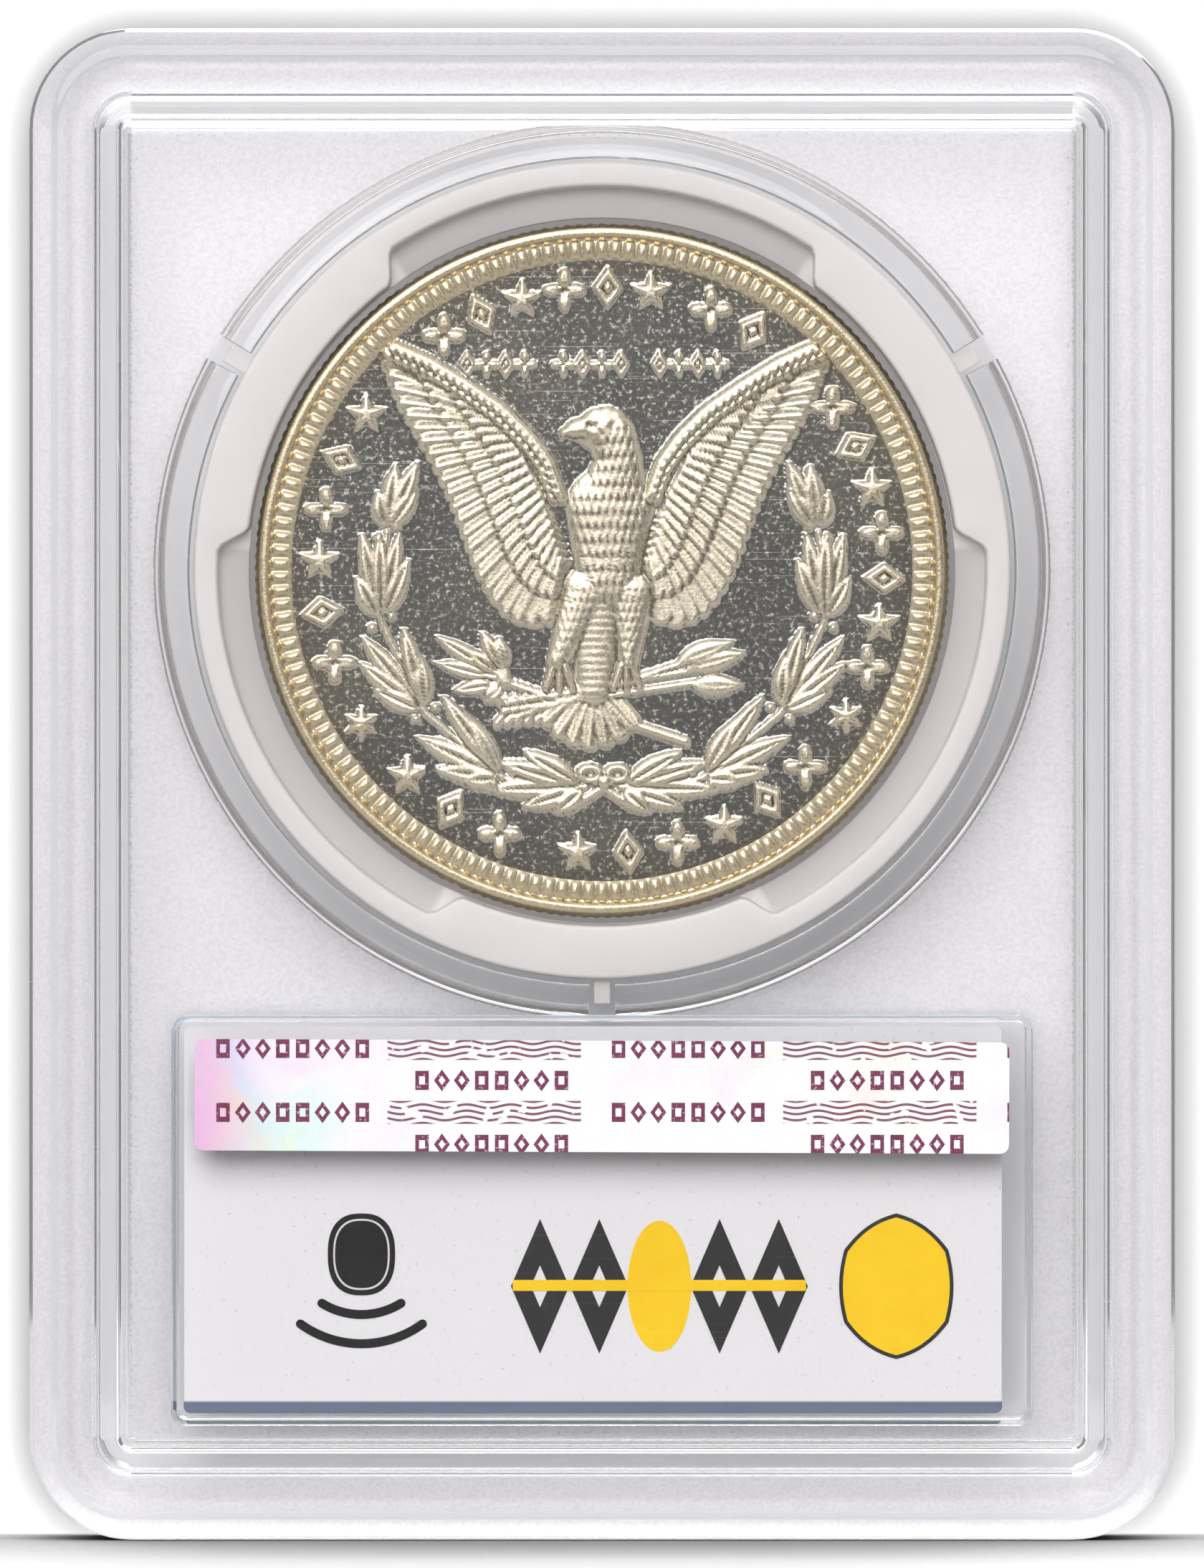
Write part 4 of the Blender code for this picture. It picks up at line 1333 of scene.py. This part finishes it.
def chip_glass():
    """The bare chip: dark glassy silicon with a faint grid of its circuit."""
    material, tree, shader, place, _ = new_material("bare_chip", 0, 0)
    grid = node(tree, "ShaderNodeTexBrick", {
        "Vector": turned(tree, place, Rotation=(math.pi / 2, 0, 0)), "Scale": 6000.0,
        "Color1": (0.05, 0.055, 0.07, 1), "Color2": (0.09, 0.09, 0.12, 1), "Mortar": (0.16, 0.15, 0.13, 1)})
    rough = fade(tree, noise(tree, place, 2200.0), 0.3, 0.7, 0.10, 0.22)
    dress(tree, shader, grid.outputs["Color"], rough)
    return material


# ---------------------------------------------------------------- stage

def make_stage():
    """A pale floor, and a pale card close behind that only the lens sees, from the front."""
    far, near, behind = 0.35, 0.2, HALF_T + 0.9 * MM
    wide, tall = SLAB_W / 2 + 2.0 * MM, SLAB_H + 2.0 * MM
    for name, corners, look in (
            ("floor", [(-far, -near, 0), (far, -near, 0), (far, far, 0), (-far, far, 0)],
             ("floor_white", False, 1.5, 30.0 * MM, 2.0)),
            ("backdrop",
             [(-wide, behind, 0), (wide, behind, 0), (wide, behind, tall), (-wide, behind, tall)],
             ("backdrop_white", True, GLAZED_GAIN, 2.5 * MM, 1.35))):
        mesh = bpy.data.meshes.new(name)
        mesh.from_pydata(corners, [], [(0, 1, 2, 3)])
        item = bpy.data.objects.new(name, mesh)
        bpy.context.collection.objects.link(item)
        item.visible_shadow = False
        mesh.materials.append(stage_white(*look))


def stage_white(name, one_sided, glazed, near, depth):
    """Matt white that reads as pure white where it is fully lit and still takes a shadow.

    Seen bare, it darkens where something stands within the distance near, by a power of depth.
    """
    material = bpy.data.materials.new(name)
    material.use_nodes = True
    tree = material.node_tree
    tree.nodes.remove(tree.nodes["Principled BSDF"])
    path = tree.nodes.new("ShaderNodeLightPath").outputs
    direct = times(tree, calc(tree, "LESS_THAN", path["Diffuse Depth"], 0.5),
                   calc(tree, "LESS_THAN", path["Glossy Depth"], 0.5))
    seen = times(tree, calc(tree, "MAXIMUM", path["Is Camera Ray"], path["Is Transmission Ray"]), direct)
    open_sky = node(tree, "ShaderNodeAmbientOcclusion", {"Distance": near}, samples=8).outputs["AO"]
    bare = times(tree, calc(tree, "POWER", open_sky, depth), STAGE_GAIN)
    gain = blend_value(tree, path["Is Transmission Ray"], bare, glazed)
    gain = blend_value(tree, seen, STAGE_ALBEDO, gain)
    matt = node(tree, "ShaderNodeBsdfDiffuse", {"Color": grey(tree, gain)}).outputs[0]
    if one_sided:
        behind = node(tree, "ShaderNodeNewGeometry").outputs["Backfacing"]
        hidden = calc(tree, "MAXIMUM", behind, minus(tree, 1.0, seen))
        clear = node(tree, "ShaderNodeBsdfTransparent").outputs[0]
        matt = node(tree, "ShaderNodeMixShader", {0: hidden, 1: matt, 2: clear}).outputs[0]
    link(tree, matt, tree.nodes["Material Output"].inputs["Surface"])
    return material


# What the stage and the room give: the floor's own tone, how bright it is bare and through the
# plastic, the room's level for matt surfaces, its dark card and its dimmer sides.
STAGE_ALBEDO = 0.86
STAGE_GAIN = 1.15
GLAZED_GAIN = 0.86
ROOM_LEVEL = 0.62
DARK_CARD = 0.2
DIM_SIDES = 0.8


def facing_fade(tree, facing, widest, narrowest):
    """0 past the widest angle to a face's axis, in degrees, and 1 inside the narrowest."""
    return fade(tree, facing, math.cos(math.radians(widest)), math.cos(math.radians(narrowest)))


def make_world():
    """A pale room: white behind, dimmer at both sides, and a dark card on both faces' axes.

    A lens sees it plain white. A reflection meets the dark card, which is small for light that
    turned round inside the plastic; a refraction meets the dimmer sides, and light that is on
    its way from a matt surface meets the room's plain level.
    """
    world = bpy.data.worlds.new("studio")
    bpy.context.scene.world = world
    world.use_nodes = True
    tree = world.node_tree
    background = tree.nodes["Background"]
    path = tree.nodes.new("ShaderNodeLightPath").outputs
    direction = node(tree, "ShaderNodeTexCoord").outputs["Generated"]
    along = node(tree, "ShaderNodeSeparateXYZ", {0: direction}).outputs
    across, facing, upright = (calc(tree, "ABSOLUTE", along[axis]) for axis in "XYZ")
    within = calc(tree, "COMPARE", path["Transmission Depth"], 1.5, 0.6)
    card = blend_value(tree, within, facing_fade(tree, facing, 60, 20), facing_fade(tree, facing, 24, 10))
    bounced = calc(tree, "GREATER_THAN", path["Glossy Depth"], 0.5)
    dim = fade(tree, times(tree, card, bounced), 0, 1, 1.0, DARK_CARD)
    sides = fade(tree, across, 0.15, 0.8, 1.0, DIM_SIDES)
    tops = fade(tree, upright, 0.3, 0.9, 1.0, 1.12)
    room = blend_value(tree, path["Is Camera Ray"], times(tree, sides, tops, dim), 1.0)
    diffuse = calc(tree, "GREATER_THAN", path["Diffuse Depth"], 0.5)
    link(tree, blend_value(tree, diffuse, room, ROOM_LEVEL), background.inputs["Strength"])
    background.inputs["Color"].default_value = (1, 1, 1, 1)
    world.cycles.sampling_method = "NONE"


AIM = Vector((0.0, 0.0, SLAB_H / 2))
LAMP_RISE = math.radians(27.0)
LAMP_AWAY = 1.6


def make_lamp(name, azimuth, size, strength):
    """A soft round lamp, turned from the coin's back face by an azimuth and aimed at the middle."""
    lamp = bpy.data.lights.new(name, "AREA")
    lamp.shape = "DISK"
    lamp.size = size
    lamp.energy = strength
    item = bpy.data.objects.new(name, lamp)
    bpy.context.collection.objects.link(item)
    turn, level = math.radians(azimuth), math.cos(LAMP_RISE)
    away = Vector((math.sin(turn) * level, -math.cos(turn) * level, math.sin(LAMP_RISE)))
    item.location = AIM + away * LAMP_AWAY
    item.rotation_euler = away.to_track_quat("Z", "Y").to_euler()


LENS_AWAY = 0.9
LENS_SENSOR = 36.0
FRAME_ROOM = 2.96 * MM


def make_camera():
    """A long lens square on to the back face, framed a little wider than the slab."""
    lens = bpy.data.cameras.new("camera")
    lens.sensor_width = LENS_SENSOR
    lens.lens = LENS_SENSOR * (LENS_AWAY - HALF_T) / (SLAB_H + FRAME_ROOM)
    lens.clip_end = 20.0
    item = bpy.data.objects.new("camera", lens)
    item.location = (0.0, -LENS_AWAY, SLAB_H / 2)
    item.rotation_euler = (math.pi / 2, 0.0, 0.0)
    bpy.context.collection.objects.link(item)
    bpy.context.scene.camera = item


# ---------------------------------------------------------------- the slab and its stage

make_shell("clear_back_half", True)
make_shell("clear_front_half", False)
make_gasket()
make_face("coin_eagle_face", eagle_relief, -1, 0.55)
make_face("coin_star_face", star_relief, 1, 0.45)
make_rim()
for sheet, sheet_low, sheet_high, stock, sheet_slot, sheet_node in (
        ("label_sheet_back", LABEL_LOW, LABEL_HIGH,
         ("pale_stock", (0.76, 0.745, 0.76), (0.81, 0.79, 0.81), (0.09, 0.125, 0.21)),
         "label_paper", "back_label"),
        ("label_sheet_front", PLATE_LOW, PLATE_HIGH,
         ("blue_stock", (0.60, 0.72, 0.84), (0.68, 0.78, 0.88), (0.16, 0.21, 0.33)),
         "front_label_paper", "front_label")):
    make_label_sheet(sheet, sheet_low, sheet_high, label_stock(*stock), sheet_slot, sheet_node)
BLACK_INK = printed_ink("black_ink", (0.008, 0.007, 0.008))
GREY_INK = printed_ink("grey_ink", (0.022, 0.021, 0.022))
YELLOW_INK = printed_ink("yellow_ink", (0.87, 0.53, 0.005))
BLUE_INK = printed_ink("blue_ink", (0.10, 0.16, 0.34))
PALE_INK = printed_ink("pale_ink", (0.62, 0.60, 0.60))
make_back_prints(BLACK_INK, GREY_INK, YELLOW_INK, PALE_INK)
make_front_prints(BLACK_INK, YELLOW_INK, BLUE_INK)
for cad_node, make_finish in (
        ("hologram_seal", security_film), ("tag_film", carrier_film),
        ("tag_antenna", etched_foil), ("tag_chip", chip_glass)):
    cad_mesh = frame["nodes"][cad_node].data
    cad_mesh.materials.clear()
    cad_mesh.materials.append(make_finish())
make_stage()
make_world()
make_camera()
make_lamp("key", -8.0, 1.2, 12.0)
make_lamp("far_side_key", 172.0, 0.9, 7.0)

bpy.context.scene.view_settings.view_transform = "Standard"
